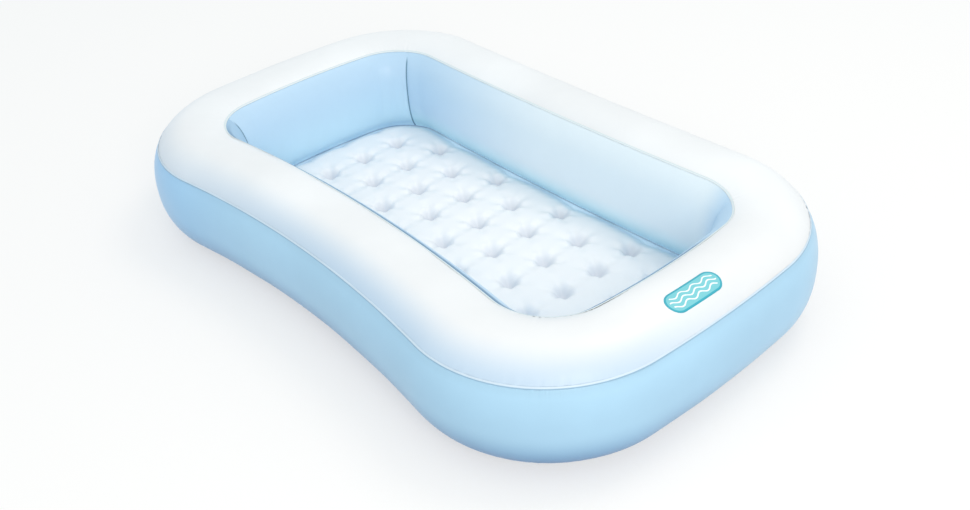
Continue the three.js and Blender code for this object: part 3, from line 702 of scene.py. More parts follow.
def film_parts(tree):
    """Where a point of a film is in space, along its welds and across them."""
    place = object_place(tree)
    uv = node(tree, "ShaderNodeUVMap", {"uv_map": "film"})[0]
    along, across, _ = node(tree, "ShaderNodeSeparateXYZ", {}, {0: uv})
    return place, along, across


MOTTLE = 21.0
FOLD_REACH = 0.022


def film_relief(shader, place, along, across, beside_weld):
    """The roughness and relief of a film: soft ripples, and small folds beside its welds."""
    tree = place.tree
    folds_along, folds_across = 150.0, 16.0
    swell_scale, grain_scale = 7.0, 260.0
    swell_depth, fold_depth, grain_depth = 0.004, 0.0012, 0.00006
    mottle = noise(tree, place, MOTTLE, detail=3.0)
    feed(shader, "Roughness", 0.31 + mottle * 0.1 + beside_weld * 0.06)
    stretch = node(tree, "ShaderNodeCombineXYZ", {}, {0: along * folds_along, 1: across * folds_across})[0]
    folds = noise(tree, stretch, 1.0, detail=1.0)
    swell = bumped(tree, noise(tree, place, swell_scale, detail=1.0), swell_depth, 0.5)
    folded = bumped(tree, folds * beside_weld, fold_depth, 0.8, under=swell)
    feed(shader, "Normal", bumped(tree, noise(tree, place, grain_scale), grain_depth, 0.5, under=folded))


def clouded(tree, place, film, dark, beside_weld, edge):
    """A film's colour with faint clouds, and painted shade beside the welds by the edge's share."""
    clouds = 2.6
    cloud = noise(tree, place, clouds, detail=1.5)
    mottle = noise(tree, place, MOTTLE, detail=3.0)
    tone = cloud.between(0.3, 0.7) * 0.6 + mottle * 0.25 + beside_weld * edge
    return mixed(tree, tone, film, opaque(dark))


def outer_film(name, shade, width, foot=None, foot_reach=0.04, left=None, edge=0.25):
    """Welded vinyl film on the outside of the ring, its two welds at 0 and at width, with painted shade
    beside both welds by edge's share.

    foot is a painted shade beside the weld at 0 on the near side: it fades over foot_reach, and is fainter
    towards the left. left is a painted shade at the left-hand end."""
    material, tree, shader = new_material(name, shade, 0.36, coat=0.06)
    place, along, across = film_parts(tree)
    x, y, _ = node(tree, "ShaderNodeSeparateXYZ", {}, {0: place})
    left_end, near_side, drawn_in = (-0.9, -0.1), (-0.35, 0.15), (-0.8, 0.25)
    beside_weld = 1 - across.between(0.0, FOLD_REACH) + across.between(width - FOLD_REACH, width)
    dark = [0.87 * channel for channel in shade]
    # Painted shade: darker beside the welds by the edge's share, over faint random clouds.
    film = clouded(tree, place, opaque(shade), dark, beside_weld, edge)
    # Painted shade at the left-hand end.
    if left:
        film = mixed(tree, 1 - x.between(*left_end), film, opaque(left))
    # Painted shade beside the weld at 0 on the near side, fading over foot_reach.
    if foot:
        near = 1 - y.between(*near_side)
        shown = (1 - across.between(0.0, foot_reach)) * near * (x.between(*drawn_in) * 0.65 + 0.35)
        film = mixed(tree, shown, film, opaque(foot))
    feed(shader, "Base Color", film)
    film_relief(shader, place, along, across, beside_weld)
    return material


def inner_film(name, shade, low, low_from=0.04, low_at=0.21, ends=None, fold=None, corner=None):
    """The film of an inner wall, which turns to its paler low colour towards its foot: painted light
    against the shade there.

    ends is its colour in both corners, where it differs. fold is a painted shade where it turns over the
    edge, and corner a painted shade in the tuck in the corner at the left-hand end of the near side. An
    emission of painted light lifts the very foot."""
    material, tree, shader = new_material(name, shade, 0.36, coat=0.06)
    place, along, across = film_parts(tree)
    x, y, _ = node(tree, "ShaderNodeSeparateXYZ", {}, {0: place})
    left_part, right_part, tucked = (-0.56, 0.05), (0.50, 0.585), (-0.54, -0.46)
    past_left_corner, far_corner = (-0.60, -0.50), (0.08, 0.16)
    turned_over, lit_foot = (0.008, 0.022), (0.228, 0.248)
    film = opaque(shade)
    # Where ends is given, the film takes that colour at both corners; on the far wall this ends its painted
    # light there.
    if ends:
        at_ends = 1 - x.between(*left_part) + x.between(*right_part)
        film = mixed(tree, at_ends, film, opaque(ends))
    # Painted light: paler towards the foot, against the shade there.
    film = mixed(tree, across.between(low_from, low_at), film, opaque(low))
    # Painted shade in the tuck of the near left-hand corner.
    if corner:
        film = mixed(tree, 1 - x.between(*tucked), film, opaque(corner))
    # Painted shade where the film turns over the edge.
    if fold:
        clear_of_corners = x.between(*past_left_corner) * (1 - y.between(*far_corner))
        film = mixed(tree, (1 - across.between(*turned_over)) * clear_of_corners, film, opaque(fold))
    mottle = noise(tree, place, MOTTLE, detail=3.0)
    dim = node(tree, "ShaderNodeMix", {"data_type": "RGBA", "blend_type": "MULTIPLY"},
               {0: mottle * 0.3, 6: film, 7: (0.93, 0.93, 0.93, 1.0)})[0]
    feed(shader, "Base Color", dim)
    # Painted light: emission at the very foot of the wall.
    add_painted_light(shader, sizes("colours").painted_crease_light, across.between(*lit_foot))
    film_relief(shader, place, along, across, 1 - across.between(0.0, FOLD_REACH))
    return material


WELD_WEAR = 35.0


def weld_material(name, shade, line, width, line_at=0.26):
    """A heat-pressed weld: a pale band with cross ribs and a darker line along one side, which on the rim's
    outer weld and the base weld is a painted shadow line.
    """
    material, tree, shader = new_material(name, shade, 0.34, coat=0.1)
    place, along, across = film_parts(tree)
    rib_pitch, rib_depth = 0.0016, 0.00025
    half_line, line_edge = 0.14, 0.24
    share = across / width
    line_low = share.between(line_at - line_edge, line_at - half_line)
    line_high = share.between(line_at + half_line, line_at + line_edge)
    pressed = line_low * (1 - line_high)
    wear = noise(tree, place, WELD_WEAR, detail=3.0)
    band = mixed(tree, wear, opaque(shade), tinted(shade, 0.9))
    feed(shader, "Base Color", mixed(tree, pressed * 0.8, band, opaque(line)))
    feed(shader, "Roughness", 0.3 + wear * 0.14)
    ribs = ((along * (2 * math.pi / rib_pitch)).math("SINE") + 1) * 0.5
    feed(shader, "Normal", bumped(tree, ribs * (1 - pressed) + (1 - pressed), rib_depth, 0.5))
    return material


def corner_weld_material(name, shade, wall_shade):
    """The weld in a corner of the basin, in the given colour, which shows less and less towards the rim;
    the dark colour is painted shade of its crease.
    """
    material, tree, shader = new_material(name, shade, 0.36)
    place, _, down = film_parts(tree)
    hidden_to, full_from = 0.008, 0.034
    ribs, rib_depth = 3900.0, 0.0002
    wear = noise(tree, place, WELD_WEAR, detail=3.0)
    shown = down.between(hidden_to, full_from) * (0.85 + wear * 0.3)
    feed(shader, "Base Color", mixed(tree, shown, opaque(wall_shade), opaque(shade)))
    feed(shader, "Roughness", 0.32 + wear * 0.12)
    feed(shader, "Normal", bumped(tree, (down * ribs).math("SINE") * 0.5 + 0.5, rib_depth, 0.4))
    return material


def floor_material(name, shade, margin_shade, hollow_shade):
    """The floor's film: white on the pillows, with painted blue shade of the walls on the margin, painted
    shade in the hollows and an emission of painted light on the margin.
    """
    material, tree, shader = new_material(name, shade, 0.4, coat=0.1)
    place = object_place(tree)
    margin = node(tree, "ShaderNodeAttribute", {"attribute_name": "margin"})[2]
    hollow = node(tree, "ShaderNodeAttribute", {"attribute_name": "hollow"})[2]
    mottle_scale, swell_scale, grain_scale = 30.0, 18.0, 280.0
    swell_depth, grain_depth = 0.0015, 0.00005
    unlit, fully_lit = 0.36, 0.85
    mottle = noise(tree, place, mottle_scale, detail=3.0)
    # Painted shade in the hollows.
    white = mixed(tree, hollow * (0.9 + mottle * 0.1), opaque(shade), opaque(hollow_shade))
    # Painted shade and blue light of the walls on the margin.
    feed(shader, "Base Color", mixed(tree, margin, white, opaque(margin_shade)))
    # Painted light: emission on the margin beside the walls.
    add_painted_light(shader, sizes("colours").painted_crease_light, margin.between(unlit, fully_lit))
    feed(shader, "Roughness", 0.36 + mottle * 0.1)
    swell = bumped(tree, noise(tree, place, swell_scale), swell_depth, 0.5)
    feed(shader, "Normal", bumped(tree, noise(tree, place, grain_scale), grain_depth, 0.5, under=swell))
    return material


def patch_material(name, shade, edge, pale, half_length, half_width):
    """The patch: a teal pill with a darker border and three pale waves printed on it."""
    material, tree, shader = new_material(name, shade, 0.42)
    place, along, across = film_parts(tree)
    straight = half_length - half_width
    past = (along.math("ABSOLUTE") - straight).math("MAXIMUM", 0.0)
    reach = (past * past + across * across).math("SQRT")
    border_from, border_full = 0.0048, 0.0036
    waves_stop, waves_full = 0.008, 0.010
    turns, swing_height, row_pitch = 190.0, 0.0034, 0.0105
    half_line, line_edge = 0.0011, 0.0019
    wear_scale, print_depth = 60.0, 0.0002
    border = reach.between(half_width - border_from, half_width - border_full)
    inside = 1 - reach.between(half_width - waves_full, half_width - waves_stop)
    waves = None
    for row in (-1, 0, 1):
        swing = (along * turns).math("SINE") * swing_height
        off = across - swing - row * row_pitch
        line = 1 - off.math("ABSOLUTE").between(half_line, line_edge)
        waves = line if waves is None else waves + line
    printed = waves * inside
    wear = noise(tree, place, wear_scale, detail=3.0)
    ground = mixed(tree, wear * 0.5, opaque(shade), tinted(shade, 0.9))
    bordered = mixed(tree, border, ground, opaque(edge))
    feed(shader, "Base Color", mixed(tree, printed.between(0.2, 0.8), bordered, opaque(pale)))
    feed(shader, "Roughness", 0.36 + wear * 0.12)
    raised = border * 0.6 + printed * 0.4
    feed(shader, "Normal", bumped(tree, raised, print_depth, 0.6))
    return material


def clear_material(name, shade):
    """Soft moulded vinyl, nearly clear."""
    material, tree, shader = new_material(name, shade, 0.2, coat=0.3)
    place = object_place(tree)
    cloud_scale, grain_scale, grain_depth = 90.0, 700.0, 0.00004
    cloud = noise(tree, place, cloud_scale)
    shader.inputs["Transmission Weight"].default_value = 0.35
    feed(shader, "Base Color", mixed(tree, cloud, opaque(shade), tinted(shade, 0.93)))
    feed(shader, "Roughness", 0.16 + cloud * 0.12)
    feed(shader, "Normal", bumped(tree, noise(tree, place, grain_scale, detail=1.0), grain_depth, 0.5))
    return material


# The ring's panels

def panel(name, stations, low, high, columns, lift, closed=True):
    """A panel of film between two angles of the section, its skin moved by lift."""
    ring = Ring()
    share = np.linspace(0, 1, columns + 1)
    from_angle = ring.beside(stations, *low)
    to_angle = ring.beside(stations, *high)
    turn = from_angle[:, None] + (to_angle - from_angle)[:, None] * share[None, :]
    station = np.broadcast_to(stations[:, None], turn.shape)
    skin = ring.points(station, turn)
    step_across = np.linalg.norm(np.diff(skin, axis=1), axis=-1)
    across = np.concatenate([np.zeros((len(stations), 1)), np.cumsum(step_across, 1)], 1)
    middle = skin[:, columns // 2]
    ends = np.concatenate([middle, middle[:1]]) if closed else middle
    run = np.concatenate([[0], np.cumsum(np.linalg.norm(np.diff(ends, axis=0), axis=-1))])
    rise = lift(ring, station, run[:len(stations), None], across, across[:, -1:])
    front = ring.points(station, turn, rise)
    back = ring.points(station, turn, rise - ring.size.film)
    return film_piece(name, front, back, run, across.mean(0), closed)


def folds(ring, station, run, across, width, low_reach, high_reach, whole):
    """Small folds that start at each weld and die out across the film, deeper at corners."""
    size = ring.size
    depth = size.pucker + size.corner_pucker * ring.cornering(station)
    low = ripple(run, whole, (211, 263, 157), (0.3, 1.9, 4.4)) * np.exp(-across / low_reach)
    high = ripple(run, whole, (193, 241, 167), (2.6, 0.8, 5.1)) * np.exp(-(width - across) / high_reach)
    return depth * (low + high)


def swell(run, across, whole, depth):
    """Long gentle waves over a whole panel."""
    along = ripple(run, whole, (7, 12, 19), (0.5, 2.2, 4.0))
    return depth * along * np.cos(across * 11.0 + 3 * np.sin(2 * math.pi * 3 * run / whole))


def ring_lift(low_reach, high_reach, depth):
    """The lift of a panel that goes all round the ring."""
    def lift(ring, station, run, across, width):
        whole = run[-1, 0] + (run[-1, 0] - run[-2, 0])
        small = folds(ring, station, run, across, width, low_reach, high_reach, whole)
        return small + swell(run, across, whole, depth)
    return lift


def inner_lift(ring, station, run, across, width):
    """The lift of an inner wall, with folds that run out of the corner welds as well."""
    whole = run[-1, 0]
    size = ring.size
    small = folds(ring, station, run, across, width, size.inner_high_folds, size.inner_low_folds, whole)
    from_corner = ring.corner_distance(station)
    down = across / width
    up_the_wall = np.sin(down * 38.0 + 1.3) + 0.6 * np.sin(down * 61.0 + 4.0)
    started = 1 - np.exp(-from_corner / size.corner_fold_start)
    drawn = size.corner_folds * up_the_wall * np.exp(-from_corner / size.corner_fold_reach) * started
    middle = np.sin(math.pi * down)
    return 0.5 * small + (drawn + swell(run, across, whole, size.inner_swell)) * middle


def flat_lift(rise):
    """The lift of a weld: proud in its middle and nearly level at its edges."""
    def lift(ring, station, run, across, width):
        share = np.abs(across / width - 0.5) * 2
        return rise * (1 - 0.55 * share ** 4)
    return lift


def even_lift(rise):
    """The lift of a lap, equally proud all over."""
    def lift(ring, station, run, across, width):
        return rise + 0 * across
    return lift


def corner_lift(rise):
    """The lift of a corner weld, proud along its middle line and lower at its sides."""
    def lift(ring, station, run, across, width):
        from_middle = np.abs(run / run[-1, 0] - 0.5) * 2
        return rise * (1 - 0.6 * from_middle) + 0 * across
    return lift


class POOL_OT_rim(bpy.types.Operator):
    """Model the white film over the top of the ring"""
    bl_idname = "pool.rim"
    bl_label = "Rim film"

    def execute(self, context):
        seams, colours, ring = sizes("seams"), sizes("colours"), Ring()
        film_width, painted_shade_reach = 0.21, 0.095
        stations = ring.stations(RIM_STEP)[:-1]
        outside = (seams.outer_rim, seams.panel_gap)
        inside = (ring.inner_rim(stations), -seams.panel_gap)
        lift = ring_lift(ring.size.rim_outer_folds, ring.size.rim_inner_folds, ring.size.swell)
        rim = panel("rim_top_film", stations, outside, inside, FILM_COLUMNS, lift)
        # The rim's film carries painted shade beside its outer weld on the near side.
        material = outer_film("white rim film", colours.rim, film_width, foot=colours.rim_edge_shade,
                              foot_reach=painted_shade_reach)
        place_piece(rim, "pool", material, "rim_top_panel")
        return {"FINISHED"}


class POOL_OT_outer_wall(bpy.types.Operator):
    """Model the blue film round the outside, the lap that closes it and the hole for the valve"""
    bl_idname = "pool.outer_wall"
    bl_label = "Outer wall film"

    def execute(self, context):
        seams, colours, ring = sizes("seams"), sizes("colours"), Ring()
        film_width, painted_shade_reach = 0.237, 0.135
        stations = ring.stations(WALL_STEP)[:-1]
        low, high = (seams.outer_base, seams.panel_gap), (seams.outer_rim, -seams.panel_gap)
        lift = ring_lift(ring.size.wall_low_folds, ring.size.wall_high_folds, ring.size.swell)
        wall = panel("outer_wall_film", stations, low, high, FILM_COLUMNS, lift)
        drill_for_valve(wall, "wall")
        # The wall's film carries painted shade beside the ground on the near side, and at the left-hand
        # end.
        material = outer_film("blue wall film", colours.wall, film_width, foot=colours.wall_foot_shade,
                              foot_reach=painted_shade_reach, left=colours.wall_left_shade, edge=0.5)
        place_piece(wall, "pool", material, "outer_wall_panel")

        middle = ring.far_station(seams.lap_place)
        aside = seams.lap_width / 2 / ring.outside(middle, middle + 1)
        strip = np.linspace(middle - aside, middle + aside, 9)
        low, high = (seams.outer_base, seams.foot_gap), (seams.outer_rim, -seams.head_gap)
        lap = panel("outer_wall_lap_weld", strip, low, high, LAP_COLUMNS, even_lift(seams.lap_rise),
                    closed=False)
        place_piece(lap, "pool", material, "outer_wall_lap_seam")
        return {"FINISHED"}


class POOL_OT_base(bpy.types.Operator):
    """Model the film under the ring, pressed flat where it stands on the ground"""
    bl_idname = "pool.base"
    bl_label = "Base film"

    def execute(self, context):
        seams, colours = sizes("seams"), sizes("colours")
        film_width = 0.2
        stations = Ring().stations(BASE_STEP)[:-1]
        inside = (seams.inner_base, seams.panel_gap)
        outside = (seams.outer_base + 2 * math.pi, -seams.panel_gap)
        base = panel("ring_base_film", stations, inside, outside, BASE_COLUMNS, even_lift(0.0))
        material = outer_film("base film", colours.base, film_width)
        place_piece(base, "pool", material, "ring_base_panel")
        return {"FINISHED"}


class POOL_OT_inner_walls(bpy.types.Operator):
    """Model the four paler films round the basin"""
    bl_idname = "pool.inner_walls"
    bl_label = "Inner wall films"

    def execute(self, context):
        seams, colours = sizes("seams"), sizes("colours")
        low_from, low_at = 0.15, 0.235
        films = {
            # The far wall's film is painted lighter than the inner film and goes back to it at its ends;
            # all four walls turn paler towards their foot as painted light.
            "far": inner_film("pale blue far film", colours.far_inner_lit, colours.far_foot_lit, low_from=low_from,
                              low_at=low_at, ends=colours.inner),
            "left_end": inner_film("pale blue inner film", colours.inner, colours.inner_foot_lit),
        }
        # The near and right-hand walls carry painted shade where the film turns over the edge, and in the
        # near left-hand corner's tuck.
        folded = inner_film("pale blue inner film with a fold", colours.inner, colours.inner_foot_lit,
                            fold=colours.fold, corner=colours.tuck)
        ring = Ring()
        beside_weld = 0.02
        for side, name in enumerate(("far", "left_end", "near", "right_end")):
            first = CORNERS[side]
            last = CORNERS[(side + 1) % 4] + (STATIONS if side == 3 else 0)
            stations = ring.stations(INNER_WALL_STEP, first, last)
            stations[0] += beside_weld
            stations[-1] -= beside_weld
            stations = with_finer_ends(stations)
            high = (ring.inner_rim(stations), seams.panel_gap)
            low = (seams.inner_base, -seams.panel_gap)
            wall = panel(f"inner_wall_film_{name}", stations, high, low, FILM_COLUMNS, inner_lift,
                         closed=False)
            place_piece(wall, "pool", films.get(name, folded),
                        f"inner_wall_panel_{name}")
        return {"FINISHED"}


def with_finer_ends(stations, ends=0.9, parts=3):
    """Stations cut finer within some stations of both ends, where the corner weld draws the film in."""
    found = []
    for start, stop in zip(stations, stations[1:]):
        near_end = start < stations[0] + ends or stop > stations[-1] - ends
        count = parts if near_end else 1
        found.extend(start + (stop - start) * np.arange(count) / count)
    return np.array([*found, stations[-1]])


class POOL_OT_welds(bpy.types.Operator):
    """Model the welds along the rim, along the base and in the basin's corners"""
    bl_idname = "pool.welds"
    bl_label = "Welds"

    def execute(self, context):
        seams, colours = sizes("seams"), sizes("colours")
        ring = Ring()
        stations = ring.stations(WELD_STEP)[:-1]
        rim_width, base_width = seams.rim_width, seams.base_width
        # The rim's outer weld carries a painted shadow line.
        rim_weld = weld_material("rim weld", colours.weld, colours.weld_shadow_line, rim_width, line_at=0.2)
        inner_weld = weld_material("inner rim weld", colours.inner_weld, colours.inner_line, rim_width)
        # The base weld's dark colour and line are painted shade at the ground.
        shaded_base_weld = weld_material("base weld", colours.shaded_base_weld, colours.weld_shadow_line, base_width)
        # The floor weld's pale colour is painted light in the crease.
        lit_floor_weld = weld_material("floor weld", colours.lit_floor_weld, colours.inner, base_width)
        rounds = (
            ("outer_rim", seams.outer_rim, rim_width, seams.rim_rise, rim_weld),
            ("inner_rim", ring.inner_rim(stations), rim_width, seams.rim_rise, inner_weld),
            ("outer_base", seams.outer_base, base_width, seams.base_rise, shaded_base_weld),
            ("inner_base", seams.inner_base, base_width, seams.base_rise, lit_floor_weld),
        )
        for name, place, width, rise, material in rounds:
            low, high = (place, -width / 2), (place, width / 2)
            weld = panel(f"{name}_weld", stations, low, high, WELD_COLUMNS, flat_lift(rise))
            place_piece(weld, "pool", material, f"{name}_seam")

        corner_weld = corner_weld_material("corner weld", colours.corner_weld, colours.inner)
        plain_weld = corner_weld_material("plain corner weld", colours.inner, colours.inner)
        for index, corner in enumerate(CORNERS):
            half_a_station = float(ring.corner_distance(np.array([corner + 0.5]))[0])
            aside = seams.corner_width / 2 / (2 * half_a_station)
            strip = np.linspace(corner - aside, corner + aside, 9)
            high, low = (ring.inner_rim(strip), seams.head_gap), (seams.inner_base, -seams.foot_gap)
            weld = panel(f"inner_corner_weld_{index + 1}", strip, high, low, CORNER_WELD_COLUMNS,
                         corner_lift(seams.corner_rise), closed=False)
            # The dark corner welds carry painted shade; the first corner's weld is plain.
            material = plain_weld if index == 0 else corner_weld
            place_piece(weld, "pool", material, f"inner_corner_seam_{index + 1}")
        return {"FINISHED"}


# The air floor

def floor_edge(ring, stations):
    """The floor's outline, just clear of the inner base weld."""
    seams = sizes("seams")
    turn = np.full(stations.shape, seams.inner_base)
    half, _, outward = ring.frames(stations)
    _, normal = ring.slope(half, stations, turn)
    weld = ring.points(stations, turn)
    slope = normal[:, 1] / normal[:, 0]
    clear = 0.5 * seams.base_rise / -normal[:, 0] + 2 * ring.size.film * slope
    return weld[:, :2] - outward * clear[:, None]


def inside_distance(loop, points):
    """Distance of points from a closed outline, negative outside it."""
    nearest = np.full(len(points), np.inf)
    inside = np.zeros(len(points), bool)
    for start, end in zip(loop, np.roll(loop, -1, 0)):
        side = end - start
        share = np.clip((points - start) @ side / (side @ side), 0, 1)
        nearest = np.minimum(nearest, np.linalg.norm(points - start - share[:, None] * side, axis=1))
        crosses = (start[1] > points[:, 1]) != (end[1] > points[:, 1])
        level = side[1] if side[1] else 1e-12
        crossing = start[0] + (points[:, 1] - start[1]) / level * side[0]
        inside ^= crosses & (points[:, 0] < crossing)
    return np.where(inside, nearest, -nearest)


def weld_spots(loop):
    """The floor's weld spots, in staggered columns."""
    floor, ring = sizes("floor"), sizes("ring")
    columns = math.ceil(ring.ring_length / floor.pitch_along / 2)
    rows = math.ceil(ring.far_waist / floor.pitch_across)
    spots = []
    for column in range(-columns, columns + 1):
        stagger = floor.pitch_across / 2 if column % 2 == 0 else 0
        for row in range(-rows, rows + 1):
            spots.append((floor.shift_along + column * floor.pitch_along,
                          row * floor.pitch_across + stagger + ring.shift_across))
    spots = np.array(spots)
    return spots[inside_distance(loop, spots) > floor.spot_margin]


def floor_mesh_points(loop, spacing):
    """Points well inside an outline, in even rows, every other row shifted by half."""
    low, high = loop.min(0), loop.max(0)
    row_height = spacing * math.sqrt(3) / 2
    rows = []
    for index, y in enumerate(np.arange(low[1], high[1], row_height)):
        row = np.arange(low[0] + (index % 2) * spacing / 2, high[0], spacing)
        rows.append(np.stack([row, np.full(len(row), y)], 1))
    points = np.concatenate(rows)
    return points[inside_distance(loop, points) > 0.6 * spacing]


def film_sheet(name, loop, heights_at, spacing):
    """A closed sheet of film inside an outline, at the heights that a function gives."""
    inner = floor_mesh_points(loop, spacing)
    flat = np.concatenate([loop, inner])
    edges = [(i, (i + 1) % len(loop)) for i in range(len(loop))]
    keep_inside, merge_distance = 1, 1e-7
    found = delaunay_2d_cdt([Vector(p) for p in flat], edges, [], keep_inside, merge_distance)
    flat = np.array([tuple(v) for v in found[0]])
    triangles = [tuple(face) for face in found[2]]
    film = sizes("ring").film
    height = heights_at(flat)
    top = np.concatenate([flat, height[:, None]], 1)
    under = np.concatenate([flat, height[:, None] - film], 1)
    shift = len(flat)
    faces = []
    for a, b, c in triangles:
        faces.append((a, b, c))
        faces.append((a + shift, c + shift, b + shift))
    sides = dict.fromkeys(side for a, b, c in triangles for side in ((a, b), (b, c), (c, a)))
    for a, b in sides:
        if (b, a) not in sides:
            faces.append((b, a, a + shift, b + shift))
    return new_piece(name, np.concatenate([top, under]), faces), np.concatenate([flat, flat])


def add_values(piece, name, values):
    """Stores one number for each point of a piece, for its material."""
    layer = piece.data.attributes.new(name, "FLOAT", "POINT")
    layer.data.foreach_set("value", np.asarray(values, np.float32))


class FloorShape:
    """Heights of the air floor's two sheets."""

    def __init__(self):
        self.size = sizes("floor")
        self.film = sizes("ring").film
        ring = Ring()
        self.loop = floor_edge(ring, ring.stations(FLOOR_EDGE_STEP)[:-1])
        self.spots = weld_spots(self.loop)
        edge = ring.points(np.array([0.0]), np.array([sizes("seams").inner_base]))
        self.edge_height = float(edge[0, 2])

    def seat_for_valve(self, points, height):
        """The heights with the sheet drawn level under the valve's flange."""
        floor, seat = self.size, valve_seat("floor").translation
        away = np.linalg.norm(points - np.array([seat.x, seat.y]), axis=1)
        share = 1 - np.clip((away - sizes("valves").flange - floor.seat_margin) / floor.seat_fade, 0, 1)
        return height + (seat.z - height) * share * share * (3 - 2 * share)

    def rise_share(self, points):
        """0 on the margin along the walls and 1 on the pillows, whose edge swings in and out."""
        floor = self.size
        across = points[:, 1] - sizes("ring").shift_across
        along = points[:, 0] - floor.shift_along
        roundness, sides_to_ends = 0.7, 2.0
        side_swing = np.abs(np.cos(math.pi * along / (2 * floor.pitch_along))) ** roundness
        end_swing = np.abs(np.cos(math.pi * across / floor.pitch_across)) ** roundness
        at_side = np.abs(across) * sides_to_ends > np.abs(along)
        swing = np.where(at_side, side_swing, end_swing)
        inset = floor.margin + 2 * floor.scallop * (1 - swing)
        distance = inside_distance(self.loop, points)
        return np.clip((distance - inset) / floor.rise, 0, 1), distance

    def nearest_spots(self, points):
        """Distance and direction of the nearest weld spot."""
        nearest = np.full(len(points), np.inf)
        turn = np.zeros(len(points))
        for spot in self.spots:
            away = points - spot
            distance = np.linalg.norm(away, axis=1)
            closer = distance < nearest
            nearest = np.where(closer, distance, nearest)
            turn = np.where(closer, np.arctan2(away[:, 1], away[:, 0]), turn)
        return nearest, turn

    def hollow_shade_share(self, points):
        """1 in the hollows round the weld spots, where the two sheets are welded, and 0 on the pillows: the
        mask of the hollows' painted shade.
        """
        away, _ = self.nearest_spots(points)
        return np.exp(-(away / self.size.hollow_shade_reach) ** 4)

    def top(self, points):
        """Height of the upper sheet."""
        floor = self.size
        share, distance = self.rise_share(points)
        skin = self.edge_height + (floor.pillow - self.edge_height) * np.sin(share * math.pi / 2)
        away, turn = self.nearest_spots(points)
        side = np.clip((away - floor.spot_flat) / floor.spot_side, 0, 1)
        crown = np.clip(away / floor.spot_reach, 0, 1)
        steep, gentle = 0.72, 0.28
        free = steep * (1 - (1 - side) ** 2) * side ** 0.25 + gentle * (1 - (1 - crown) ** 2)
        height = floor.spot_height + (skin - floor.spot_height) * free
        to_next_spot = 0.5 + 0.5 * np.cos(6 * (turn - math.pi / 2))
        in_valley = np.exp(-((away - floor.valley_at) / floor.valley_reach) ** 2)
        height -= floor.valley * to_next_spot * in_valley * share
        near_spot = (away / floor.pucker_from) * np.exp(-(away / floor.pucker_reach) ** 2)
        pucker = floor.pucker * np.cos(7 * turn + 40 * away) * near_spot
        wander = np.sin(points[:, 0] * 190.0 + 2 * np.sin(points[:, 1] * 60))
        near_edge = np.exp(-((distance - floor.edge_fold_at) / floor.edge_fold_reach) ** 2)
        edge_fold = floor.edge_fold * wander * near_edge * (distance > floor.edge_strip)
        return self.seat_for_valve(points, height + pucker + edge_fold)

    def bottom(self, points):
        """Height of the lower sheet, which lies on the ground between the weld spots."""
        floor = self.size
        distance = inside_distance(self.loop, points)
        share = np.sin(np.clip((distance - floor.margin) / floor.rise, 0, 1) * math.pi / 2)
        gap = self.film
        edge = self.edge_height - self.film - gap
        spot_top = floor.spot_height - self.film - gap
        skin = self.film + (edge - self.film) * (1 - share)
        away, _ = self.nearest_spots(points)
        return spot_top + (skin - spot_top) * (1 - np.exp(-(away / floor.under_reach) ** 2))


class POOL_OT_floor(bpy.types.Operator):
    """Model the dimpled air floor: the pillowed upper sheet and the lower sheet on the ground"""
    bl_idname = "pool.floor"
    bl_label = "Air floor"

    def execute(self, context):
        floor, colours = sizes("floor"), sizes("colours")
        shape = FloorShape()
        upper, flat = film_sheet("floor_top_film", shape.loop, shape.top, floor.grain)
        _, distance = shape.rise_share(flat)
        # The margin values mask the painted shade along the walls.
        add_values(upper, "margin", (1 - np.clip(distance / floor.margin_shade_reach, 0, 1)) ** 1.5)
        # The hollow values mask the painted shade in the hollows.
        add_values(upper, "hollow", shape.hollow_shade_share(flat))
        drill_for_valve(upper, "floor")
        top_material = floor_material("white floor film", colours.floor, colours.margin, colours.hollow)
        place_piece(upper, "pool", top_material, "floor_top_sheet")

        lower, flat = film_sheet("floor_bottom_film", shape.loop, shape.bottom, floor.under_grain)
        add_values(lower, "margin", np.zeros(len(flat)))
        add_values(lower, "hollow", shape.hollow_shade_share(flat))
        place_piece(lower, "pool", top_material, "floor_bottom_sheet")
        return {"FINISHED"}


# The air valves

def deselect():
    """Leaves nothing selected."""
    bpy.ops.object.select_all(action="DESELECT")


def finish_shape(piece, bevel=0.0):
    """Rounds a piece's sharp edges and shades it smooth between them."""
    steps, smooth = 3, math.radians(35)
    deselect()
    bpy.context.view_layer.objects.active = piece
    piece.select_set(True)
    if bevel:
        rounding = piece.modifiers.new("rounded edges", "BEVEL")
        rounding.width = bevel
        rounding.segments = steps
        rounding.limit_method = "ANGLE"
        bpy.ops.object.modifier_apply(modifier=rounding.name)
    bpy.ops.object.shade_smooth_by_angle(angle=smooth)
    piece.select_set(False)
    return piece


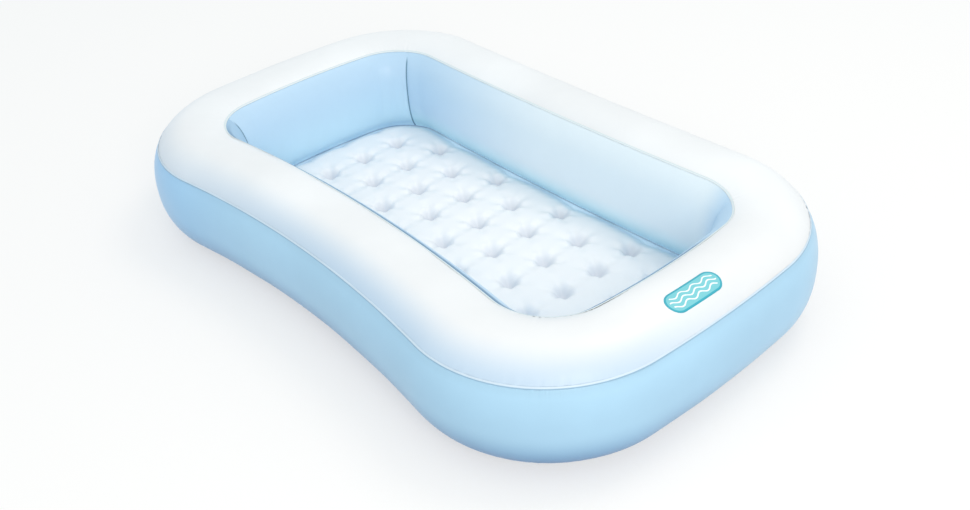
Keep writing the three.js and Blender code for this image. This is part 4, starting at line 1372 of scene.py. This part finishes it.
def turned(name, profile, hollow, around=64):
    """A round piece: a circle that is extruded from height to height and scaled to each radius."""
    deselect()
    radius, height = profile[0]
    bpy.ops.mesh.primitive_circle_add(vertices=around, radius=radius, location=(0, 0, height))
    piece = bpy.context.active_object
    piece.name = piece.data.name = name
    bpy.ops.object.transform_apply(location=True, rotation=True, scale=True)
    bpy.ops.object.mode_set(mode="EDIT")
    bpy.ops.mesh.select_all(action="SELECT")
    for next_radius, next_height in profile[1:] + (profile[:1] if hollow else []):
        lift = (0, 0, next_height - height)
        bpy.ops.mesh.extrude_edges_move(TRANSFORM_OT_translate={"value": lift})
        size = next_radius / radius
        bpy.ops.transform.resize(value=(size, size, 1), center_override=(0, 0, next_height))
        radius, height = next_radius, next_height
    bpy.ops.mesh.select_all(action="SELECT")
    if hollow:
        merge_distance = 1e-6
        bpy.ops.mesh.remove_doubles(threshold=merge_distance)
    else:
        bpy.ops.mesh.fill_holes(sides=0)
    bpy.ops.mesh.select_all(action="SELECT")
    bpy.ops.mesh.normals_make_consistent(inside=False)
    bpy.ops.object.mode_set(mode="OBJECT")
    return piece


def block(name, low, high):
    """A bar between two corners."""
    deselect()
    middle = [(a + b) / 2 for a, b in zip(low, high)]
    bpy.ops.mesh.primitive_cube_add(size=1, location=middle, scale=[b - a for a, b in zip(low, high)])
    piece = bpy.context.active_object
    piece.name = piece.data.name = name
    bpy.ops.object.transform_apply(location=True, rotation=True, scale=True)
    return piece


def joined(main, *others):
    """Makes one object of several."""
    deselect()
    for piece in others:
        piece.select_set(True)
    main.select_set(True)
    bpy.context.view_layer.objects.active = main
    bpy.ops.object.join()
    return main


def valve_seat(which):
    """Where a valve sits, from its CAD flange: its film at height 0 and its hinge at +Y."""
    valve = sizes("valves")
    low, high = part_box(f"{which}_valve_flange")
    middle = (low + high) / 2
    off_film = valve.flange_thickness + sizes("ring").film
    if which == "wall":
        out, up = Vector((0, 1, 0)), Vector((0, 0, 1))
        origin = Vector((middle.x, high.y - off_film, middle.z))
    else:
        out, up = Vector((0, 0, 1)), Vector((0, 1, 0))
        origin = Vector((middle.x, middle.y, high.z - off_film))
    turn = Matrix((up.cross(out), up, out)).transposed()
    return Matrix.Translation(origin) @ turn.to_4x4()


def seated(piece, seat):
    """Moves a piece into place and leaves its object at the origin."""
    deselect()
    bpy.context.view_layer.objects.active = piece
    piece.select_set(True)
    piece.matrix_world = seat
    bpy.ops.object.transform_apply(location=True, rotation=True, scale=True)
    piece.select_set(False)
    return piece


def drill_for_valve(film, which):
    """Cuts the hole that the valve's collar goes through."""
    valve = sizes("valves")
    hole = valve.collar_top + valve.flange_thickness + 1.5 * sizes("ring").film
    deselect()
    bpy.ops.mesh.primitive_cylinder_add(vertices=64, radius=hole, depth=2 * valve.collar_depth)
    drill = seated(bpy.context.active_object, valve_seat(which))
    deselect()
    bpy.context.view_layer.objects.active = film
    film.select_set(True)
    cut = film.modifiers.new("valve hole", "BOOLEAN")
    cut.operation = "DIFFERENCE"
    cut.object = drill
    bpy.ops.object.modifier_apply(modifier=cut.name)
    film.select_set(False)
    bpy.data.objects.remove(drill)


class ValveParts:
    """The pieces of one valve."""

    def __init__(self, which):
        self.which = which
        self.size = sizes("valves")
        self.gap = sizes("ring").film
        self.seat = valve_seat(which)
        self.material = clear_material(f"clear vinyl of the {which} valve", sizes("colours").valve)

    def place(self, piece, body, node_name):
        """Seats a finished piece, gives it its material and body, and hides the valve's CAD piece that it
        stands for.
        """
        seated(piece, self.seat)
        place_piece(piece, body, self.material, f"{self.which}_valve_{node_name}")

    def flange(self):
        """The flat ring welded to the film, with a raised bead round its mouth."""
        valve, low = self.size, self.gap
        high = low + valve.flange_thickness
        bead = valve.bead
        piece = turned(f"{self.which}_valve_flange_ring", [
            (valve.flange, low),
            (valve.flange, high),
            (valve.collar_top + 3 * bead, high),
            (valve.collar_top + 2 * bead, high + 0.5 * bead),
            (valve.collar_top + bead, high + 0.5 * bead),
            (valve.collar_top, high),
            (valve.collar_top, low),
        ], hollow=True, around=96)
        finish_shape(piece, valve.fine_bevel)
        self.place(piece, "pool", "flange")

    def collar(self):
        """The soft cup that lets the stem in and out."""
        valve, low = self.size, self.gap
        wall = valve.flange_thickness * 0.9
        foot = -valve.collar_depth
        steps = 10
        inside, outside = [], []
        for step in range(steps + 1):
            share = step / steps
            bulge = valve.bulge * math.sin(math.pi * share)
            radius = valve.collar_top + (valve.collar_foot - valve.collar_top) * share + bulge
            height = low + (foot - low) * share
            inside.append((radius, height + wall * share))
            outside.append((radius + wall, height))
        mouth = valve.stem + self.gap
        profile = [*inside, (mouth, foot + wall), (mouth, foot), *reversed(outside)]
        piece = turned(f"{self.which}_valve_collar", profile, hollow=True, around=96)
        finish_shape(piece)
        seated(piece, self.seat)
        piece.data.materials.append(self.material)
        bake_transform(piece)

    def stem(self):
        """The tube with its lip, and the lug that holds the cap's strap."""
        valve = self.size
        foot = -valve.collar_depth - valve.stem_foot
        top, lip = valve.stem_top, valve.lip
        piece = turned(f"{self.which}_valve_stem_tube", [
            (valve.bore, foot),
            (valve.stem, foot),
            (valve.stem, top - lip),
            (valve.stem_rim, top - lip),
            (valve.stem_rim, top),
            (valve.bore, top),
        ], hollow=True, around=96)
        finish_shape(piece, valve.bevel)
        lug_high = top + valve.lug_rise
        lug = block("lug", (-valve.strap, valve.stem - valve.lug_overlap, lug_high - valve.lug),
                    (valve.strap, valve.hinge + valve.strap_end, lug_high))
        finish_shape(lug, valve.broad_bevel)
        self.place(joined(piece, lug), f"{self.which}_stem", "stem")

    def cap(self):
        """The domed cap with its plug, finger tab and strap."""
        valve = self.size
        foot = valve.stem_top + self.gap
        high = foot + valve.cap_thickness
        plug_foot = valve.stem_top - valve.plug
        plug_radius = valve.bore - valve.plug_play
        piece = turned(f"{self.which}_valve_cap_disc", [
            (plug_radius - valve.plug_tip, plug_foot),
            (plug_radius - valve.plug_shoulder, plug_foot + valve.plug_taper),
            (plug_radius, foot),
            (valve.cap, foot),
            (valve.cap, high - valve.cap_edge),
            (valve.cap - valve.cap_slope, high),
            (valve.cap - valve.cap_slope - 2 * valve.dish, high - valve.dish),
            (valve.dish_floor, high - valve.dish),
        ], hollow=False, around=96)
        finish_shape(piece, valve.cap_bevel)
        hinge_height = foot + valve.cap_thickness / 2
        half = valve.strap_thickness / 2
        strap = block("strap", (-valve.strap, valve.cap - valve.overlap, hinge_height - half),
                      (valve.strap, valve.hinge + valve.strap_end, hinge_height + half))
        finish_shape(strap, valve.bevel)
        tab = block("tab", (-valve.tab_half, -valve.cap - valve.tab, foot + valve.tab_foot),
                    (valve.tab_half, -valve.cap + valve.overlap, high - valve.dish))
        finish_shape(tab, valve.broad_bevel)
        self.place(joined(piece, strap, tab), f"{self.which}_cap", "cap")

    def flap(self):
        """The thin disc that shuts the stem from inside."""
        valve = self.size
        high = -valve.collar_depth - valve.stem_foot - self.gap
        low = high - valve.flap_thickness
        piece = turned(f"{self.which}_valve_flap_disc", [
            (valve.flap, low),
            (valve.flap, high),
        ], hollow=False)
        finish_shape(piece, valve.fine_bevel)
        self.place(piece, f"{self.which}_flap", "flap")


class POOL_OT_valves(bpy.types.Operator):
    """Model the ring's and the floor's air valves"""
    bl_idname = "pool.valves"
    bl_label = "Air valves"

    def execute(self, context):
        for which in ("wall", "floor"):
            parts = ValveParts(which)
            parts.flange()
            parts.collar()
            parts.stem()
            parts.cap()
            parts.flap()
        return {"FINISHED"}


# The patch on the rim

class POOL_OT_patch(bpy.types.Operator):
    """Model the teal patch on the rim of the right-hand end"""
    bl_idname = "pool.patch"
    bl_label = "Rim patch"

    def execute(self, context):
        colours = sizes("colours")
        ring = Ring()
        film = ring.size.film
        patch = sizes("patch")
        half_length, half_width = patch.patch_length / 2, patch.patch_width / 2
        straight = half_length - half_width
        end_rows, straight_rows, columns = 14, 30, 25
        end = np.sin(np.linspace(0, math.radians(88), end_rows)) * half_width
        middle = np.linspace(-straight, straight, straight_rows)[1:-1]
        along = np.concatenate([-(straight + end)[::-1], middle, straight + end])
        past = np.maximum(np.abs(along) - straight, 0)
        half = np.sqrt(half_width ** 2 - past ** 2)
        stations = (patch.shift_along + along) / ring.outside(0, 1)
        share = np.linspace(-1, 1, columns)
        out = patch.shift_out - half[:, None] * share[None, :]
        tube_half = ring.frames(stations)[0][:, None]
        lean = np.arccos((np.abs(out) / tube_half) ** (ring.size.squareness / 2))
        turn = np.where(out > 0, lean, math.pi - lean)
        station = np.broadcast_to(stations[:, None], turn.shape)
        edge = np.minimum(1 - np.abs(share)[None, :], 1) * half[:, None]
        top = film + patch.thickness * (0.55 + 0.45 * np.clip(edge / patch.edge_round, 0, 1))
        front, back = ring.points(station, turn, top), ring.points(station, turn, film)
        piece = film_piece("rim_patch", front, back, along, share * half_width, closed=False)
        layer = piece.data.uv_layers["film"]
        across = share[None, :] * half[:, None]
        flat = np.stack([np.broadcast_to(along[:, None], across.shape), across], -1).reshape(-1, 2)
        flat = np.concatenate([flat, flat])
        for loop in piece.data.loops:
            layer.data[loop.index].uv = flat[loop.vertex_index]
        material = patch_material("teal patch", colours.patch, colours.patch_edge, colours.rim,
                                  half_length, half_width)
        place_piece(piece, "pool", material, "rim_badge_patch")
        return {"FINISHED"}


# The stage

def area_lamp(name, place, width, power, shade):
    """A broad soft lamp that faces the pool."""
    bpy.ops.object.light_add(type="AREA", location=place)
    lamp = bpy.context.active_object
    lamp.name = name
    lamp.data.shape = "DISK"
    lamp.data.size = width
    lamp.data.energy = power
    lamp.data.color = shade
    lamp.rotation_euler = (-Vector(place)).to_track_quat("-Z", "Y").to_euler()


def seen_or_mirrored(tree):
    """1 where the camera sees a surface, straight, mirrored or through glass, and 0 for its light."""
    path = node(tree, "ShaderNodeLightPath")
    camera, glossy, transmission = path[0], path[3], path[6]
    return camera.math("MAXIMUM", glossy).math("MAXIMUM", transmission)


def add_ground(stage):
    """The pale ground: the camera sees it nearly white, with a part of the pool's shadow."""
    deselect()
    bpy.ops.mesh.primitive_plane_add(size=stage.ground_size, location=(0, 0, 0))
    ground = bpy.context.active_object
    ground.name = "ground"
    material, tree, shader = new_material("pale ground", stage.ground, 0.9)
    shader.inputs["Specular IOR Level"].default_value = 0.0
    white = node(tree, "ShaderNodeEmission", {}, {"Color": (1, 1, 1, 1), "Strength": 1.0})[0]
    lit = Wire(tree, shader.outputs[0])
    seen = seen_or_mirrored(tree)
    feed(shader, "Base Color", mixed(tree, seen, opaque(stage.ground_glow), opaque(stage.ground)))
    shown = node(tree, "ShaderNodeMixShader", {}, {0: seen * (1 - stage.shadow), 1: lit, 2: white})[0]
    tree.links.new(shown.socket, tree.nodes["Material Output"].inputs["Surface"])
    ground.data.materials.append(material)


def add_sky(stage):
    """Even light from all round, from a sky that the camera sees as white."""
    world = bpy.data.worlds.new("studio")
    bpy.context.scene.world = world
    world.use_nodes = True
    tree = world.node_tree
    background = tree.nodes["Background"]
    background.inputs["Color"].default_value = opaque(stage.sky_tint)
    background.inputs["Strength"].default_value = stage.sky
    seen = seen_or_mirrored(tree)
    white = node(tree, "ShaderNodeBackground", {}, {"Color": (1, 1, 1, 1), "Strength": 1.0})[0]
    lit = Wire(tree, background.outputs[0])
    shown = node(tree, "ShaderNodeMixShader", {}, {0: seen, 1: lit, 2: white})[0]
    tree.links.new(shown.socket, tree.nodes["World Output"].inputs["Surface"])


def add_camera(stage):
    """The camera that sees the pool as the photo does."""
    azimuth, elevation = stage.azimuth, stage.elevation
    back = Vector((math.sin(azimuth) * math.cos(elevation),
                   -math.cos(azimuth) * math.cos(elevation), math.sin(elevation)))
    right = Vector((0, 0, 1)).cross(back).normalized()
    turn = Matrix((right, back.cross(right), back)).transposed() @ Matrix.Rotation(stage.roll, 3, "Z")
    bpy.ops.object.camera_add(location=Vector(stage.target) + stage.distance * back)
    camera = bpy.context.active_object
    camera.rotation_euler = turn.to_euler()
    camera.data.lens = stage.lens
    camera.data.shift_x, camera.data.shift_y = stage.shift
    bpy.context.scene.camera = camera


class POOL_OT_stage(bpy.types.Operator):
    """Set up the ground, the lamps, the sky and the camera"""
    bl_idname = "pool.stage"
    bl_label = "Stage"

    def execute(self, context):
        stage = sizes("stage")
        add_ground(stage)
        add_sky(stage)
        area_lamp("key lamp", stage.key_place, stage.key_width, stage.key, stage.lamp_tint)
        area_lamp("front lamp", stage.front_place, stage.front_width, stage.front, stage.lamp_tint)
        add_camera(stage)
        context.scene.view_settings.view_transform = "Standard"
        return {"FINISHED"}


# The sidebar

GROUPS = {
    "ring": PoolRingSizes,
    "seams": PoolSeamSizes,
    "floor": PoolFloorSizes,
    "patch": PoolPatchSizes,
    "valves": PoolValveSizes,
    "colours": PoolColours,
    "stage": PoolStage,
}
OPERATORS = (
    POOL_OT_stage,
    POOL_OT_rim,
    POOL_OT_outer_wall,
    POOL_OT_base,
    POOL_OT_inner_walls,
    POOL_OT_welds,
    POOL_OT_floor,
    POOL_OT_patch,
    POOL_OT_valves,
)


class POOL_PT_sidebar(bpy.types.Panel):
    """The pool's pieces and sizes"""
    bl_idname = "POOL_PT_sidebar"
    bl_label = "Inflatable pool"
    bl_space_type = "VIEW_3D"
    bl_region_type = "UI"
    bl_category = "Pool"

    def draw(self, context):
        for operator in OPERATORS:
            self.layout.operator(operator.bl_idname)
        for group, kind in GROUPS.items():
            box = self.layout.box()
            box.label(text=kind.__doc__)
            for name in kind.__annotations__:
                box.prop(sizes(group), name)


def register():
    """Adds the pool's sizes, operators and panel to Blender."""
    for kind in (*GROUPS.values(), *OPERATORS, POOL_PT_sidebar):
        bpy.utils.register_class(kind)
    for group, kind in GROUPS.items():
        setattr(bpy.types.Scene, f"pool_{group}", bpy.props.PointerProperty(type=kind))


def unregister():
    """Takes them away again."""
    for group in GROUPS:
        delattr(bpy.types.Scene, f"pool_{group}")
    for kind in (POOL_PT_sidebar, *OPERATORS, *GROUPS.values()):
        bpy.utils.unregister_class(kind)


def main():
    """Builds the whole pool and its stage."""
    register()
    for operator in OPERATORS:
        module, name = operator.bl_idname.split(".")
        getattr(getattr(bpy.ops, module), name)()
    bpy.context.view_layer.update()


if __name__ == "__main__":
    main()
